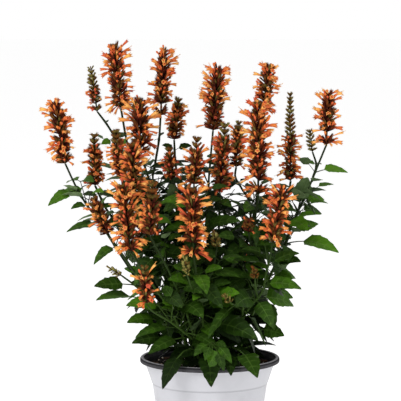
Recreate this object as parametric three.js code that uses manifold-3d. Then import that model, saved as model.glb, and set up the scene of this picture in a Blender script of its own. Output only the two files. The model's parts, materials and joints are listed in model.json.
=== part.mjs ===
// A potted agastache: a bushy herb with spikes of orange flowers, growing in a white nursery pot.
// Millimetres, +Z up. The origin is the centre of the pot's flat underside, and the front faces -Y.
import * as THREE from 'three'
import { mergeVertices } from 'three/addons/utils/BufferGeometryUtils.js'
import Module from 'manifold-3d'

// The pot
const POT_HEIGHT = 150
const POT_BASE_RADIUS = 52.4
const STEP_RADIUS = 69.3
const STEP_Z = 119
const STEP_OUT = 0.7
const COLLAR_RADIUS = 76.3
const COLLAR_Z = 138
const RIM_RADIUS = 84
const RIM_DEPTH = 6
const RIM_TOP_RADIUS = 81
const RIM_INNER_RADIUS = 79
const RIM_EDGE = 1
const RIM_SHOULDER = 1.4
const RIM_CREST = 0.3
const RIM_INNER_DROP = 1.6
const RIM_UNDERCUT = 0.8
const BASE_EDGE = 1.4
const STEP_HEIGHT = 0.6
const COLLAR_FLARE = 1.7
const COLLAR_TOP_DROP = 0.5
const POT_WALL = 1.4
const POT_FLOOR = 2
const POT_SIDES = 28
const DRAIN_HOLES = 6
const DRAIN_HOLE_RADIUS = 5
const DRAIN_CIRCLE_RADIUS = 39
const DRAIN_HOLE_SIDES = 8

// The soil
const SOIL_DROP = 12
const SOIL_TOP = POT_HEIGHT - SOIL_DROP
const STEM_FOOT_Z = SOIL_TOP - 12
const SOIL_RELIEF = 1.6
const SOIL_EDGE_DROP = 1.6
const SOIL_CROWN = 1
const SOIL_TOP_GAP = 0.6
const SOIL_RING_INSETS = [12, 26, 40]
const SOIL_SEED = 77
const FIT_GAP = 0.3

// Stems, square in section as in the whole mint family
const STEM_ROOT_HALF_WIDTH = 1.6
const STEM_TIP_HALF_WIDTH = 1.1
const BRANCH_ROOT_HALF_WIDTH = 1.25
const BRANCH_TIP_HALF_WIDTH = 0.9
const BRANCH_TURN = 50
const BRANCH_BARE_HEIGHT = 290
const BRANCH_LOWEST_NODE = 22
const HIGHEST_NODE_DROP = 14
const NODE_HALF_HEIGHT = 1.1
const HEAD_GAP = 0.3

// Leaves
const LEAF_HALF_THICKNESS = 0.7
const PETIOLE_HALF_WIDTH = 0.75
const LEAF_FOLD = 0.22
const LEAF_LIFT = 0.22
const LEAF_TEETH = 3
const LARGE_LEAF_TEETH = 4
const LARGE_LEAF_LENGTH = 46
const BRACT_TEETH = 2
const BRACT_LENGTH = 16
const LEAF_WIDTH_RATIO = 0.31
const OUTWARD_ROLL = 38
const NODE_SPACING = 34
const BARE_SPACING = 58
const LEAST_NODE_GAP = 12
const LOWEST_NODE = 20
const CLEAR_DISTANCE = 7
const SAMPLE_STEP = 5.6
const HEAD_CLEARANCE = 3
const LOW_BLADE = 50
const HIGH_BLADE = 28
const LOW_PETIOLE = 16
const HIGH_PETIOLE = 8
const BRACT_BLADE = 11
const BRACT_PETIOLE = 3
const FULL_SIZE_HEIGHT = 230
const LEAST_FADE_HEIGHT = 40
const RULE_LEAF_SCALES = [1, 0.84, 0.68]
const RULE_LEAF_TILTS = [0, 20, -22]
const RULE_LEAF_SWINGS = [0, 20, -20, 42, -42]
const FIRST_TOOTH = 0.06
const FIRST_NOTCH = 0.1
const TOOTHED_SHARE = 0.86
const TOOTH_LEAD = 0.45
const NOTCH_DEPTH = 0.74

// Flower heads
const WHORL_SPACING = 11
const WHORL_FOOT = 0.22
const WHORL_TOP = 0.66
const CORE_HALF_WIDTH = 2.45
const CORE_TIP_HALF_WIDTH = 1.1
const SMALL_HEAD_REACH = 8
const TIP_SHARE = 0.42
const TIP_GROWTH = 2.1
const CALYX_RISE = 0.45
const MOUTH_HALF_WIDTH = 4.2
const MOUTH_RISE = 4.4
const MOUTH_DROP = 2.8
const LIP_REACH = 1.2
const LEAST_REACH_SHARE = 0.84
const LEAST_CLIMB = 0.05
const MOST_CLIMB_GAIN = 0.3
const HEAD_SEED = 500

// Each stem: its route from the soil up to its head, hand-chosen points, and the leaves that are
// aimed at a place: [height on the stem, leaf tip x, y, z, blade length, roll in degrees, and how
// high the leaf arches on its way as a share of its reach, where that isn't LEAF_LIFT].
const STEMS = [
  { name: 'stem_01', turn: 20, bare: 330, route: [[-33, -4, 142], [-60, -8, 200], [-110, -14, 280],
    [-130, -12, 311], [-148, -10, 336], [-160, -10, 357], [-172, -10, 383]],
    aimed: [[351, -192, -24, 334, 30, -35], [333, -165, -22, 330, 20, -30], [284, -138, -26, 264, 32, -20]] },
  { name: 'stem_02', turn: 65, bare: 322, route: [[-27, 8, 142], [-50, 10, 200], [-85, 8, 262],
    [-116, 7, 315], [-126, 10, 330], [-138, 15, 355]], aimed: [] },
  { name: 'stem_03', turn: 10, bare: 380, route: [[-24, 20, 142], [-45, 35, 220], [-85, 54, 330],
    [-112, 62, 400], [-123, 64, 422], [-138, 70, 442]], aimed: [[405, -132, 44, 403, 16, -50]] },
  { name: 'stem_04', turn: 40, bare: 360, route: [[-18, 10, 142], [-38, 20, 220], [-72, 36, 320],
    [-98, 49, 395], [-108, 45, 447]], aimed: [] },
  { name: 'stem_05', turn: 75, bare: 350, route: [[-16, -2, 142], [-30, 3, 220], [-56, 11, 310],
    [-74, 16, 365], [-83, 20, 392]], aimed: [[215, -62, -2, 212, 38, -55]] },
  { name: 'stem_06', turn: 0, bare: 330, route: [[-24, -6, 142], [-42, -9, 215], [-76, -13, 300],
    [-96, -16, 345], [-104, -18, 367]], aimed: [] },
  { name: 'stem_07', turn: 50, bare: 310, route: [[-16, -16, 142], [-34, -26, 210], [-62, -42, 280],
    [-82, -52, 325], [-88, -55, 344]], aimed: [[176, -58, -38, 168, 30, -35]] },
  { name: 'stem_08', turn: 30, bare: 270, route: [[-21, -23, 142], [-40, -45, 200], [-72, -78, 255],
    [-91, -95, 287]], aimed: [[190, -88, -62, 182, 40, -15], [212, -98, -76, 222, 40, -35]] },
  { name: 'stem_09', turn: 60, bare: 285, route: [[-30, -13, 142], [-55, -22, 200], [-98, -38, 270],
    [-120, -50, 303]], aimed: [[238, -136, -62, 243, 38, -40, 0.1], [215, -134, -60, 226, 44, -15],
    [192, -98, -50, 198, 36, -35], [170, -93, -34, 171, 36, -40]] },
  { name: 'stem_10', turn: 15, bare: 280, route: [[-12, -28, 142], [-24, -52, 200], [-44, -82, 255],
    [-60, -102, 290], [-69, -112, 308]],
    aimed: [[163, -55, -106, 129, 38, 0, 0.4], [178, -72, -80, 166, 38, -20], [222, -8, -99, 211, 40, 30]] },
  { name: 'stem_11', turn: 80, bare: 345, route: [[-9, 11, 142], [-22, 22, 220], [-48, 34, 300],
    [-68, 41, 354], [-67, 48, 376], [-62, 55, 407], [-60, 62, 437]],
    aimed: [[372, -50, 40, 384, 18, 0], [408, -56, 44, 418, 10, 0]] },
  { name: 'stem_12', turn: 35, bare: 360, route: [[-9, 22, 142], [-18, 44, 220], [-34, 76, 320],
    [-42, 95, 375], [-44, 102, 405]], aimed: [[392, -59, 92, 399, 17, -50], [392, -22, 92, 398, 18, 50]] },
  { name: 'stem_13', turn: 5, bare: 345, route: [[-9, -6, 142], [-18, -7, 220], [-34, -7, 310],
    [-43, -6, 345], [-45, -5, 364]], aimed: [[322, -48, -38, 360, 30, 60]] },
  { name: 'stem_14', turn: 70, bare: 335, route: [[-4, -14, 142], [-9, -22, 220], [-16, -32, 310],
    [-19, -35, 360]], aimed: [[302, 36, -50, 318, 44, 30], [166, -17, -70, 170, 28, 0, 0.3]] },
  { name: 'stem_15', turn: 25, bare: 262, route: [[-3, -25, 142], [-7, -48, 190], [-14, -80, 245],
    [-19, -95, 283]], aimed: [[163, 1, -125, 135, 45, 0, 0.3], [197, 56, -84, 182, 50, 40],
    [210, -7, -94, 233, 20, 0], [226, 34, -100, 240, 44, 40, 0.1], [262, -4, -124, 242, 34, 0]] },
  { name: 'stem_16', turn: 45, bare: 340, route: [[5, -5, 142], [8, -5, 230], [11, -5, 310],
    [12, -5, 348]], aimed: [[168, 12, -74, 166, 26, 0, 0.3]] },
  { name: 'stem_17', turn: 85, bare: 350, route: [[1, 12, 142], [-2, 26, 220], [-3, 40, 310],
    [-1, 45, 361], [1, 48, 385], [4, 50, 419]], aimed: [] },
  { name: 'stem_18', turn: 55, bare: 335, route: [[11, 9, 142], [30, 13, 220], [46, 18, 290],
    [49, 22, 330], [39, 28, 350], [31, 31, 364], [32, 32, 376]], aimed: [] },
  { name: 'stem_19', turn: 20, bare: 345, route: [[12, 20, 142], [30, 32, 230], [56, 40, 330],
    [60, 32, 400], [64, 22, 444]], aimed: [] },
  { name: 'stem_20', turn: 65, bare: 325, route: [[14, -12, 142], [30, -22, 215], [48, -36, 290],
    [57, -45, 349]], aimed: [] },
  { name: 'stem_21', turn: 30, bare: 335, route: [[21, 2, 142], [46, 5, 220], [74, 8, 300],
    [93, 10, 340], [97, 10, 361]], aimed: [[312, 115, -50, 308, 34, 30]] },
  { name: 'stem_22', turn: 50, bare: 355, route: [[30, -4, 142], [54, -10, 210], [90, -12, 287],
    [94, -10, 300], [104, -6, 324], [114, -3, 344], [126, 0, 373], [139, 0, 405]],
    aimed: [[178, 88, -46, 182, 32, 75], [288, 152, -42, 280, 46, 25], [297, 108, -38, 306, 22, -30],
      [316, 132, -18, 323, 28, 20], [325, 116, -22, 368, 36, -35], [339, 138, 8, 338, 26, 50],
      [372, 166, 8, 371, 30, 30], [372, 106, -18, 390, 20, 40], [263, 108, -30, 268, 30, 40],
      [249, 97, -38, 248, 28, 35]] },
  { name: 'stem_23', turn: 10, bare: 280, route: [[15, -27, 142], [28, -34, 180], [46, -44, 215],
    [61, -54, 235], [65, -64, 257], [69, -72, 274], [72, -82, 296]],
    aimed: [[164, 54, -121, 145, 44, 10, 0.25], [157, 24, -102, 144, 28, 0, 0.4], [225, 73, -76, 196, 36, 30],
      [244, 107, -66, 240, 38, 35], [268, 104, -72, 283, 32, 30]] },
]

// Side branches: the stem each one grows from, the height where it leaves, and its route.
const BRANCHES = [
  { name: 'branch_1', stem: 'stem_09', height: 208, route: [[-85, -40, 238], [-104, -48, 254]] },
  { name: 'branch_2', stem: 'stem_10', height: 176,
    route: [[-45, -80, 203], [-66, -106, 220], [-73, -115, 230]] },
  { name: 'branch_3', stem: 'stem_22', height: 366, route: [[128, 14, 380], [124, 25, 395]] },
  { name: 'branch_4', stem: 'stem_15', height: 222, route: [[-19, -92, 240], [-26, -116, 262]] },
  { name: 'branch_5', stem: 'stem_15', height: 234, route: [[2, -79, 262], [8, -77, 290]] },
  { name: 'branch_6', stem: 'stem_20', height: 262, route: [[47, -55, 285], [45, -70, 307]] },
  { name: 'branch_7', stem: 'stem_23', height: 228, route: [[53, -74, 241], [52, -86, 254]] },
  { name: 'branch_8', stem: 'stem_23', height: 200,
    route: [[38, -68, 223], [28, -92, 226], [24, -105, 229]] },
  { name: 'branch_9', stem: 'stem_12', height: 200, route: [[-30, 82, 235], [-36, 112, 262]] },
  { name: 'branch_10', stem: 'stem_19', height: 186, route: [[42, 72, 220], [51, 105, 245]] },
  { name: 'branch_11', stem: 'stem_03', height: 212, route: [[-64, 68, 244], [-80, 88, 264]] },
]

// Flower heads: where each tip is, the reach of the open flowers and of the closed calyces from
// the head's axis, and the stretch of the head in bloom, as fractions of its length from below.
// Where apart is given, that many whorls are missing above the lowest one.
const HEADS = [
  { name: 'spike_01', carrier: 'stem_01', tip: [-184, -10, 459], reach: 19, calyx: 11, bloom: [0, 0.95] },
  { name: 'spike_02', carrier: 'stem_03', tip: [-146, 70, 498], reach: 11, calyx: 7, bloom: [0, 0.45],
    apart: 1 },
  { name: 'spike_03', carrier: 'stem_04', tip: [-116, 45, 527], reach: 20, calyx: 11, bloom: [0, 0.9] },
  { name: 'spike_04', carrier: 'stem_05', tip: [-85, 20, 458], reach: 24, calyx: 13, bloom: [0, 0.96] },
  { name: 'spike_05', carrier: 'stem_06', tip: [-112, -18, 425], reach: 15, calyx: 9, bloom: [0.1, 0.66] },
  { name: 'spike_06', carrier: 'stem_07', tip: [-91, -55, 412], reach: 18, calyx: 11, bloom: [0, 0.8] },
  { name: 'spike_07', carrier: 'stem_08', tip: [-101, -95, 368], reach: 20, calyx: 11, bloom: [0, 0.86],
    apart: 1 },
  { name: 'spike_08', carrier: 'stem_10', tip: [-65, -112, 370], reach: 14, calyx: 10, bloom: [0.05, 0.62] },
  { name: 'spike_09', carrier: 'stem_09', tip: [-137, -50, 347], reach: 16, calyx: 9, bloom: [0.2, 0.8] },
  { name: 'spike_10', carrier: 'stem_02', tip: [-139, 15, 419], reach: 15, calyx: 9, bloom: [0.12, 0.62] },
  { name: 'spike_11', carrier: 'stem_11', tip: [-55, 62, 517], reach: 18, calyx: 10, bloom: [0.16, 0.95],
    apart: 1 },
  { name: 'spike_12', carrier: 'stem_12', tip: [-38, 102, 458], reach: 15, calyx: 9, bloom: [0.1, 0.72] },
  { name: 'spike_13', carrier: 'stem_17', tip: [10, 50, 496], reach: 20, calyx: 12, bloom: [0.32, 0.97] },
  { name: 'spike_14', carrier: 'stem_14', tip: [-15, -35, 417], reach: 17, calyx: 9, bloom: [0, 0.6] },
  { name: 'spike_15', carrier: 'stem_13', tip: [-49, -5, 402], reach: 13, calyx: 8, bloom: [0, 0.6] },
  { name: 'spike_16', carrier: 'stem_16', tip: [18, -5, 433], reach: 16, calyx: 10, bloom: [0.16, 0.74] },
  { name: 'spike_17', carrier: 'stem_18', tip: [35, 32, 433], reach: 13, calyx: 8, bloom: [0.1, 0.75] },
  { name: 'spike_18', carrier: 'stem_19', tip: [71, 22, 499], reach: 17, calyx: 10, bloom: [0, 0.92] },
  { name: 'spike_19', carrier: 'stem_20', tip: [56, -45, 461], reach: 22, calyx: 12, bloom: [0, 0.92],
    apart: 1 },
  { name: 'spike_20', carrier: 'stem_21', tip: [96, 10, 470], reach: 15, calyx: 7, bloom: [0, 0.5] },
  { name: 'spike_21', carrier: 'stem_22', tip: [142, 0, 469], reach: 18, calyx: 10, bloom: [0, 0.95] },
  { name: 'spike_22', carrier: 'branch_3', tip: [120, 25, 422], reach: 6, calyx: 6, bloom: [0, 0] },
  { name: 'spike_23', carrier: 'stem_15', tip: [-21, -95, 363], reach: 20, calyx: 11, bloom: [0, 0.9],
    apart: 1 },
  { name: 'spike_24', carrier: 'stem_23', tip: [84, -82, 364], reach: 19, calyx: 10, bloom: [0, 0.9] },
  { name: 'spike_25', carrier: 'branch_2', tip: [-75, -115, 274], reach: 17, calyx: 8, bloom: [0, 0.7] },
  { name: 'bud_26', carrier: 'branch_1', tip: [-117, -50, 262], reach: 5, calyx: 5, bloom: [0, 0] },
  { name: 'bud_27', carrier: 'branch_4', tip: [-29, -119, 282], reach: 5, calyx: 5, bloom: [0, 0] },
  { name: 'bud_28', carrier: 'branch_6', tip: [44, -72, 321], reach: 8, calyx: 7, bloom: [0, 0.9] },
  { name: 'bud_29', carrier: 'branch_7', tip: [51, -89, 267], reach: 5, calyx: 5, bloom: [0, 0] },
  { name: 'bud_30', carrier: 'branch_8', tip: [18, -108, 238], reach: 5, calyx: 5, bloom: [0, 0] },
  { name: 'bud_31', carrier: 'branch_5', tip: [5, -77, 305], reach: 6, calyx: 6, bloom: [0, 0] },
  { name: 'spike_32', carrier: 'branch_9', tip: [-41, 120, 322], reach: 16, calyx: 10, bloom: [0, 0.75] },
  { name: 'spike_33', carrier: 'branch_10', tip: [56, 113, 304], reach: 16, calyx: 10, bloom: [0, 0.75] },
  { name: 'spike_34', carrier: 'branch_11', tip: [-87, 96, 324], reach: 15, calyx: 10, bloom: [0, 0.7] },
]

// Materials
const potPlastic = new THREE.MeshStandardMaterial({ color: '#dcdce0', roughness: 0.42, metalness: 0 })
const soilMix = new THREE.MeshStandardMaterial({ color: '#1c110c', roughness: 0.95, metalness: 0 })
const leafGreen = new THREE.MeshStandardMaterial({ color: '#2f5a1c', roughness: 0.6, metalness: 0 })
const openOrange = new THREE.MeshStandardMaterial({ color: '#dd6f2c', roughness: 0.6, metalness: 0 })
const budBrown = new THREE.MeshStandardMaterial({ color: '#5e3a26', roughness: 0.7, metalness: 0 })

const DEGREE = Math.PI / 180

// Plain vector sums on [x, y, z] lists

function add(a, b, scale = 1) {
  return [a[0] + b[0] * scale, a[1] + b[1] * scale, a[2] + b[2] * scale]
}

function dot(a, b) {
  return a[0] * b[0] + a[1] * b[1] + a[2] * b[2]
}

function cross(a, b) {
  return [a[1] * b[2] - a[2] * b[1], a[2] * b[0] - a[0] * b[2], a[0] * b[1] - a[1] * b[0]]
}

function between(a, b, share) {
  return [a[0] + (b[0] - a[0]) * share, a[1] + (b[1] - a[1]) * share, a[2] + (b[2] - a[2]) * share]
}

function distance(a, b) {
  return Math.hypot(b[0] - a[0], b[1] - a[1], b[2] - a[2])
}

function unit(a) {
  const size = Math.hypot(a[0], a[1], a[2])
  return [a[0] / size, a[1] / size, a[2] / size]
}

// Seeded draws between 0 and 1, the same on every run
function makeDraw(seed) {
  let state = seed * 7919 + 17
  return () => {
    state = (state * 16807) % 2147483647
    return state / 2147483647
  }
}

// Routes: a smooth curve through hand-chosen points, kept as a fine line with its running length

function traceRoute(points) {
  const spanSteps = 10
  const last = points.length - 1
  const before = add(points[0], add(points[1], points[0], -1), -1)
  const after = add(points[last], add(points[last - 1], points[last], -1), -1)
  const all = [before, ...points, after]
  const line = []
  for (let span = 0; span < last; span++) {
    const [p0, p1, p2, p3] = all.slice(span, span + 4)
    for (let step = span === 0 ? 0 : 1; step <= spanSteps; step++) {
      const t = step / spanSteps
      const point = [0, 1, 2].map((axis) => {
        const slope = p2[axis] - p0[axis]
        const bend = 2 * p0[axis] - 5 * p1[axis] + 4 * p2[axis] - p3[axis]
        const twist = 3 * p1[axis] - p0[axis] - 3 * p2[axis] + p3[axis]
        return p1[axis] + 0.5 * (slope * t + bend * t * t + twist * t * t * t)
      })
      line.push(point)
    }
  }
  const lengths = [0]
  for (let index = 1; index < line.length; index++) {
    lengths.push(lengths[index - 1] + distance(line[index - 1], line[index]))
  }
  return { line, lengths, total: lengths[lengths.length - 1] }
}

function pointAt(trace, length) {
  let index = 1
  while (index < trace.line.length - 1 && trace.lengths[index] < length) {
    index += 1
  }
  const start = trace.lengths[index - 1]
  const share = (length - start) / (trace.lengths[index] - start)
  return between(trace.line[index - 1], trace.line[index], share)
}

function directionAt(trace, length) {
  const reach = 3
  return unit(add(pointAt(trace, length + reach), pointAt(trace, length - reach), -1))
}

function lengthAtHeight(trace, height) {
  let index = 1
  while (index < trace.line.length - 1 && trace.line[index][2] < height) {
    index += 1
  }
  const low = trace.line[index - 1][2]
  const share = (height - low) / (trace.line[index][2] - low)
  return trace.lengths[index - 1] + share * (trace.lengths[index] - trace.lengths[index - 1])
}

// Leaves: each one follows an arc from its node to its tip, the first part a petiole, the rest
// a blade. The same sums place the sample points that keep it clear of its neighbours.

function arcPoint(leaf, share) {
  const rest = 1 - share
  const first = add([0, 0, 0], leaf.root, rest * rest)
  const second = add(first, leaf.shoulder, 2 * rest * share)
  return add(second, leaf.tip, share * share)
}

function arcDirection(leaf, share) {
  const first = add(leaf.shoulder, leaf.root, -1)
  const second = add(leaf.tip, leaf.shoulder, -1)
  return unit(between(first, second, share))
}

function bladeShare(leaf, share) {
  return leaf.petiole + (1 - leaf.petiole) * share
}

function bladeWidth(share) {
  return Math.pow(share, 0.55) * Math.pow(1 - share, 0.85) / 0.391
}

function bladeFrame(leaf, share) {
  const along = arcDirection(leaf, share)
  const level = unit(cross([0, 0, 1], leaf.heading))
  const lift = unit(cross(along, level))
  const side = add(add([0, 0, 0], level, Math.cos(leaf.roll)), lift, Math.sin(leaf.roll))
  return { side, up: unit(cross(along, side)) }
}

function bladePoint(leaf, share, across) {
  const place = bladeShare(leaf, share)
  const { side, up } = bladeFrame(leaf, place)
  const width = leaf.halfWidth * bladeWidth(share) * across
  const edge = add(arcPoint(leaf, place), side, width * Math.cos(LEAF_FOLD))
  return add(edge, up, Math.abs(width) * Math.sin(LEAF_FOLD))
}

function makeLeaf(root, tip, bladeLength, roll, lift = LEAF_LIFT) {
  const reach = distance(root, tip)
  const middle = between(root, tip, 0.5)
  const heading = unit([tip[0] - root[0], tip[1] - root[1], 0])
  return {
    root,
    tip,
    heading,
    shoulder: add(middle, [0, 0, 1], reach * lift),
    petiole: Math.max(0.12, 1 - bladeLength / reach),
    bladeLength,
    halfWidth: bladeLength * LEAF_WIDTH_RATIO,
    roll: roll * DEGREE,
  }
}

function leafSamples(leaf) {
  const samples = []
  const stemReach = 7
  const bladeSteps = Math.max(2, Math.ceil(leaf.bladeLength / SAMPLE_STEP))
  const sideSteps = Math.max(1, Math.ceil(leaf.halfWidth / SAMPLE_STEP))
  const petioleSteps = Math.ceil(leaf.petiole * distance(leaf.root, leaf.tip) / SAMPLE_STEP)
  for (let step = 1; step < petioleSteps; step++) {
    samples.push(arcPoint(leaf, leaf.petiole * step / petioleSteps))
  }
  for (let step = 0; step <= bladeSteps; step++) {
    for (let side = -sideSteps; side <= sideSteps; side++) {
      samples.push(bladePoint(leaf, step / bladeSteps, side / sideSteps))
    }
  }
  return samples.filter((sample) => distance(sample, leaf.root) > stemReach)
}

// A coarse box grid of sample points, to find the near ones quickly

const taken = new Map()

function cellOf(point) {
  return point.map((value) => Math.floor(value / CLEAR_DISTANCE))
}

function take(point, owner) {
  const key = cellOf(point).join()
  if (!taken.has(key)) {
    taken.set(key, [])
  }
  taken.get(key).push({ point, owner })
}

function isFree(point, owner, root) {
  const ownReach = 14
  const [cx, cy, cz] = cellOf(point)
  for (let dx = -1; dx <= 1; dx++) {
    for (let dy = -1; dy <= 1; dy++) {
      for (let dz = -1; dz <= 1; dz++) {
        const near = taken.get([cx + dx, cy + dy, cz + dz].join())
        for (const other of near || []) {
          const skipped = other.owner === owner && distance(other.point, root) < ownReach
          if (!skipped && distance(other.point, point) < CLEAR_DISTANCE) {
            return false
          }
        }
      }
    }
  }
  return true
}

function segmentDistance(point, start, end) {
  const span = add(end, start, -1)
  const share = Math.min(1, Math.max(0, dot(add(point, start, -1), span) / dot(span, span)))
  return distance(point, between(start, end, share))
}

// The room that rule-placed leaves keep to: above the soil and the rim, and within the bush
function isInBush(point) {
  const nearRimRadius = 70
  const rimClearance = 6
  const soilClearance = 5
  const narrowRadius = 78
  const wideRadius = 106
  const widening = 0.5
  const openHeight = 300
  const radius = Math.hypot(point[0], point[1])
  const floor = radius > nearRimRadius ? POT_HEIGHT + rimClearance : SOIL_TOP + soilClearance
  const limit = Math.min(wideRadius, narrowRadius + (point[2] - POT_HEIGHT) * widening)
  return point[2] > floor && (radius < limit || point[2] > openHeight)
}

function leafFits(leaf, owner) {
  const samples = leafSamples(leaf)
  const spare = 10
  const leafReach = distance(leaf.root, leaf.tip) + spare
  const nearHeads = heads.filter((head) =>
    segmentDistance(leaf.root, head.base, head.tip) < head.reach + leafReach)
  return samples.every((sample) => {
    const headClear = nearHeads.every((head) =>
      segmentDistance(sample, head.base, head.tip) > head.reach + HEAD_CLEARANCE)
    return headClear && isInBush(sample) && isFree(sample, owner, leaf.root)
  })
}

// Leaf size by height: large low down, small bracts on the bare upper stem
function leafSizeAt(height, bare) {
  if (height > bare) {
    return { blade: BRACT_BLADE, petiole: BRACT_PETIOLE }
  }
  const fadeHeight = Math.max(LEAST_FADE_HEIGHT, bare - FULL_SIZE_HEIGHT)
  const fade = Math.min(1, Math.max(0, (height - FULL_SIZE_HEIGHT) / fadeHeight))
  return {
    blade: LOW_BLADE - (LOW_BLADE - HIGH_BLADE) * fade,
    petiole: LOW_PETIOLE - (LOW_PETIOLE - HIGH_PETIOLE) * fade,
  }
}

// A leaf by rule: it tries smaller sizes and other tilts and swings until one keeps clear
function ruleLeaf(root, azimuth, size, draw, owner) {
  const [least, range] = size.blade < BRACT_LENGTH ? [-10, 40] : [-52, 44]
  const lean = least + range * draw()
  const level = [-Math.sin(azimuth * DEGREE), Math.cos(azimuth * DEGREE), 0]
  const outward = unit([root[0], root[1] - 1, 0])
  const rollRange = 44
  const roll = -OUTWARD_ROLL * dot(outward, level) + rollRange * (draw() - 0.5)
  const growth = 0.88 + 0.24 * draw()
  for (const scale of RULE_LEAF_SCALES) {
    for (const tilt of RULE_LEAF_TILTS) {
      for (const swing of RULE_LEAF_SWINGS) {
        const blade = size.blade * growth * scale
        const reach = blade + size.petiole
        const heading = (azimuth + swing) * DEGREE
        const slope = (lean + tilt) * DEGREE
        const tip = [
          root[0] + reach * Math.cos(slope) * Math.cos(heading),
          root[1] + reach * Math.cos(slope) * Math.sin(heading),
          root[2] + reach * Math.sin(slope),
        ]
        const leaf = makeLeaf(root, tip, blade, roll)
        if (leafFits(leaf, owner)) {
          return leaf
        }
      }
    }
  }
  return null
}

// Stalks: stems and branches alike, each with its nodes from the lowest up

function halfWidthAt(stalk, length) {
  const share = Math.min(1, Math.max(0, length / stalk.trace.total))
  return stalk.rootHalfWidth + (stalk.tipHalfWidth - stalk.rootHalfWidth) * share
}

function faceOf(azimuth, node) {
  return ((Math.round((azimuth - node.azimuth) / 90) % 4) + 4) % 4
}

function makeStalk(spec, index) {
  const trace = traceRoute(spec.route)
  const nodes = []
  for (const [height, x, y, z, bladeLength, roll, lift] of spec.aimed) {
    const length = lengthAtHeight(trace, height)
    const root = pointAt(trace, length)
    const azimuth = Math.atan2(y - root[1], x - root[0]) / DEGREE
    let node = nodes.find((other) => Math.abs(other.length - length) < 1)
    if (!node) {
      node = { length, azimuth, root, leaves: {} }
      nodes.push(node)
    }
    node.leaves[faceOf(azimuth, node)] = makeLeaf(root, [x, y, z], bladeLength, roll, lift)
  }
  const draw = makeDraw(index + 1)
  let turn = spec.turn
  let length = spec.start
  while (length < trace.total - HIGHEST_NODE_DROP) {
    const root = pointAt(trace, length)
    turn += 90 + 24 * (draw() - 0.5)
    if (nodes.every((other) => Math.abs(other.length - length) > LEAST_NODE_GAP)) {
      nodes.push({ length, azimuth: turn, root, leaves: {} })
    }
    length += (root[2] > spec.bare ? BARE_SPACING : NODE_SPACING) * (0.9 + 0.2 * draw())
  }
  nodes.sort((a, b) => a.length - b.length)
  return { ...spec, index, trace, nodes, draw }
}

function withRoot(stem) {
  const [x, y] = stem.route[0]
  const route = [[x, y, STEM_FOOT_Z], ...stem.route]
  return { ...stem, route, start: LOWEST_NODE + SOIL_TOP - STEM_FOOT_Z,
    rootHalfWidth: STEM_ROOT_HALF_WIDTH, tipHalfWidth: STEM_TIP_HALF_WIDTH }
}

const stems = STEMS.map((stem, index) => makeStalk(withRoot(stem), index))

const branches = BRANCHES.map((branch, index) => {
  const parent = stems.find((stem) => stem.name === branch.stem)
  const root = pointAt(parent.trace, lengthAtHeight(parent.trace, branch.height))
  const spec = { ...branch, parent, route: [root, ...branch.route], aimed: [],
    turn: BRANCH_TURN * (index + 1), bare: BRANCH_BARE_HEIGHT, start: BRANCH_LOWEST_NODE,
    rootHalfWidth: BRANCH_ROOT_HALF_WIDTH, tipHalfWidth: BRANCH_TIP_HALF_WIDTH }
  return makeStalk(spec, stems.length + index)
})

const stalks = [...stems, ...branches]

const heads = HEADS.map((head, index) => {
  const carrier = stalks.find((stalk) => stalk.name === head.carrier)
  const end = carrier.route[carrier.route.length - 1]
  const axis = unit(add(head.tip, end, -1))
  carrier.endDirection = axis
  return { ...head, index, carrier, axis, base: add(end, axis, HEAD_GAP) }
})

function claimSpace() {
  const lineStep = 4
  for (const stalk of stalks) {
    for (let length = 0; length <= stalk.trace.total; length += lineStep) {
      take(pointAt(stalk.trace, length), stalk.index)
    }
  }
  for (const stem of stems) {
    for (const node of stem.nodes) {
      for (const leaf of Object.values(node.leaves)) {
        leafSamples(leaf).forEach((sample) => take(sample, -1))
      }
    }
  }
}

function growLeaves(stalk) {
  for (const node of stalk.nodes) {
    const size = leafSizeAt(node.root[2], stalk.bare)
    for (const face of [0, 2]) {
      if (!node.leaves[face]) {
        const leaf = ruleLeaf(node.root, node.azimuth + 90 * face, size, stalk.draw, stalk.index)
        if (leaf) {
          node.leaves[face] = leaf
          leafSamples(leaf).forEach((sample) => take(sample, -1))
        }
      }
    }
  }
}

claimSpace()
stalks.forEach(growLeaves)

// Mesh building: points and triangles are collected, then made into one closed geometry

class Shell {
  constructor() {
    this.points = []
    this.triangles = []
  }

  point(place) {
    this.points.push(place)
    return this.points.length - 1
  }

  face(...corners) {
    for (let index = 2; index < corners.length; index++) {
      this.triangles.push([corners[0], corners[index - 1], corners[index]])
    }
  }

  geometry() {
    const geometry = new THREE.BufferGeometry()
    geometry.setAttribute('position', new THREE.Float32BufferAttribute(this.points.flat(), 3))
    geometry.setIndex(this.triangles.flat())
    return geometry
  }
}

// One square ring of points round a stalk: the four corners of faces 0, 1, 2 and 3
function squareRing(shell, centre, direction, azimuth, halfWidth) {
  const level = [Math.cos(azimuth * DEGREE), Math.sin(azimuth * DEGREE), 0]
  const out = unit(add(level, direction, -dot(level, direction)))
  const side = cross(direction, out)
  const corners = [[1, -1], [1, 1], [-1, 1], [-1, -1]]
  return corners.map(([a, b]) => shell.point(add(add(centre, out, a * halfWidth), side, b * halfWidth)))
}

function joinRings(shell, low, high, skip = []) {
  const count = low.length
  for (let face = 0; face < count; face++) {
    if (!skip.includes(face)) {
      const next = (face + 1) % count
      shell.face(low[face], low[next], high[next], high[face])
    }
  }
}

function teethOf(leaf) {
  if (leaf.bladeLength < BRACT_LENGTH) {
    return BRACT_TEETH
  }
  return leaf.bladeLength < LARGE_LEAF_LENGTH ? LEAF_TEETH : LARGE_LEAF_TEETH
}

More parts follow.
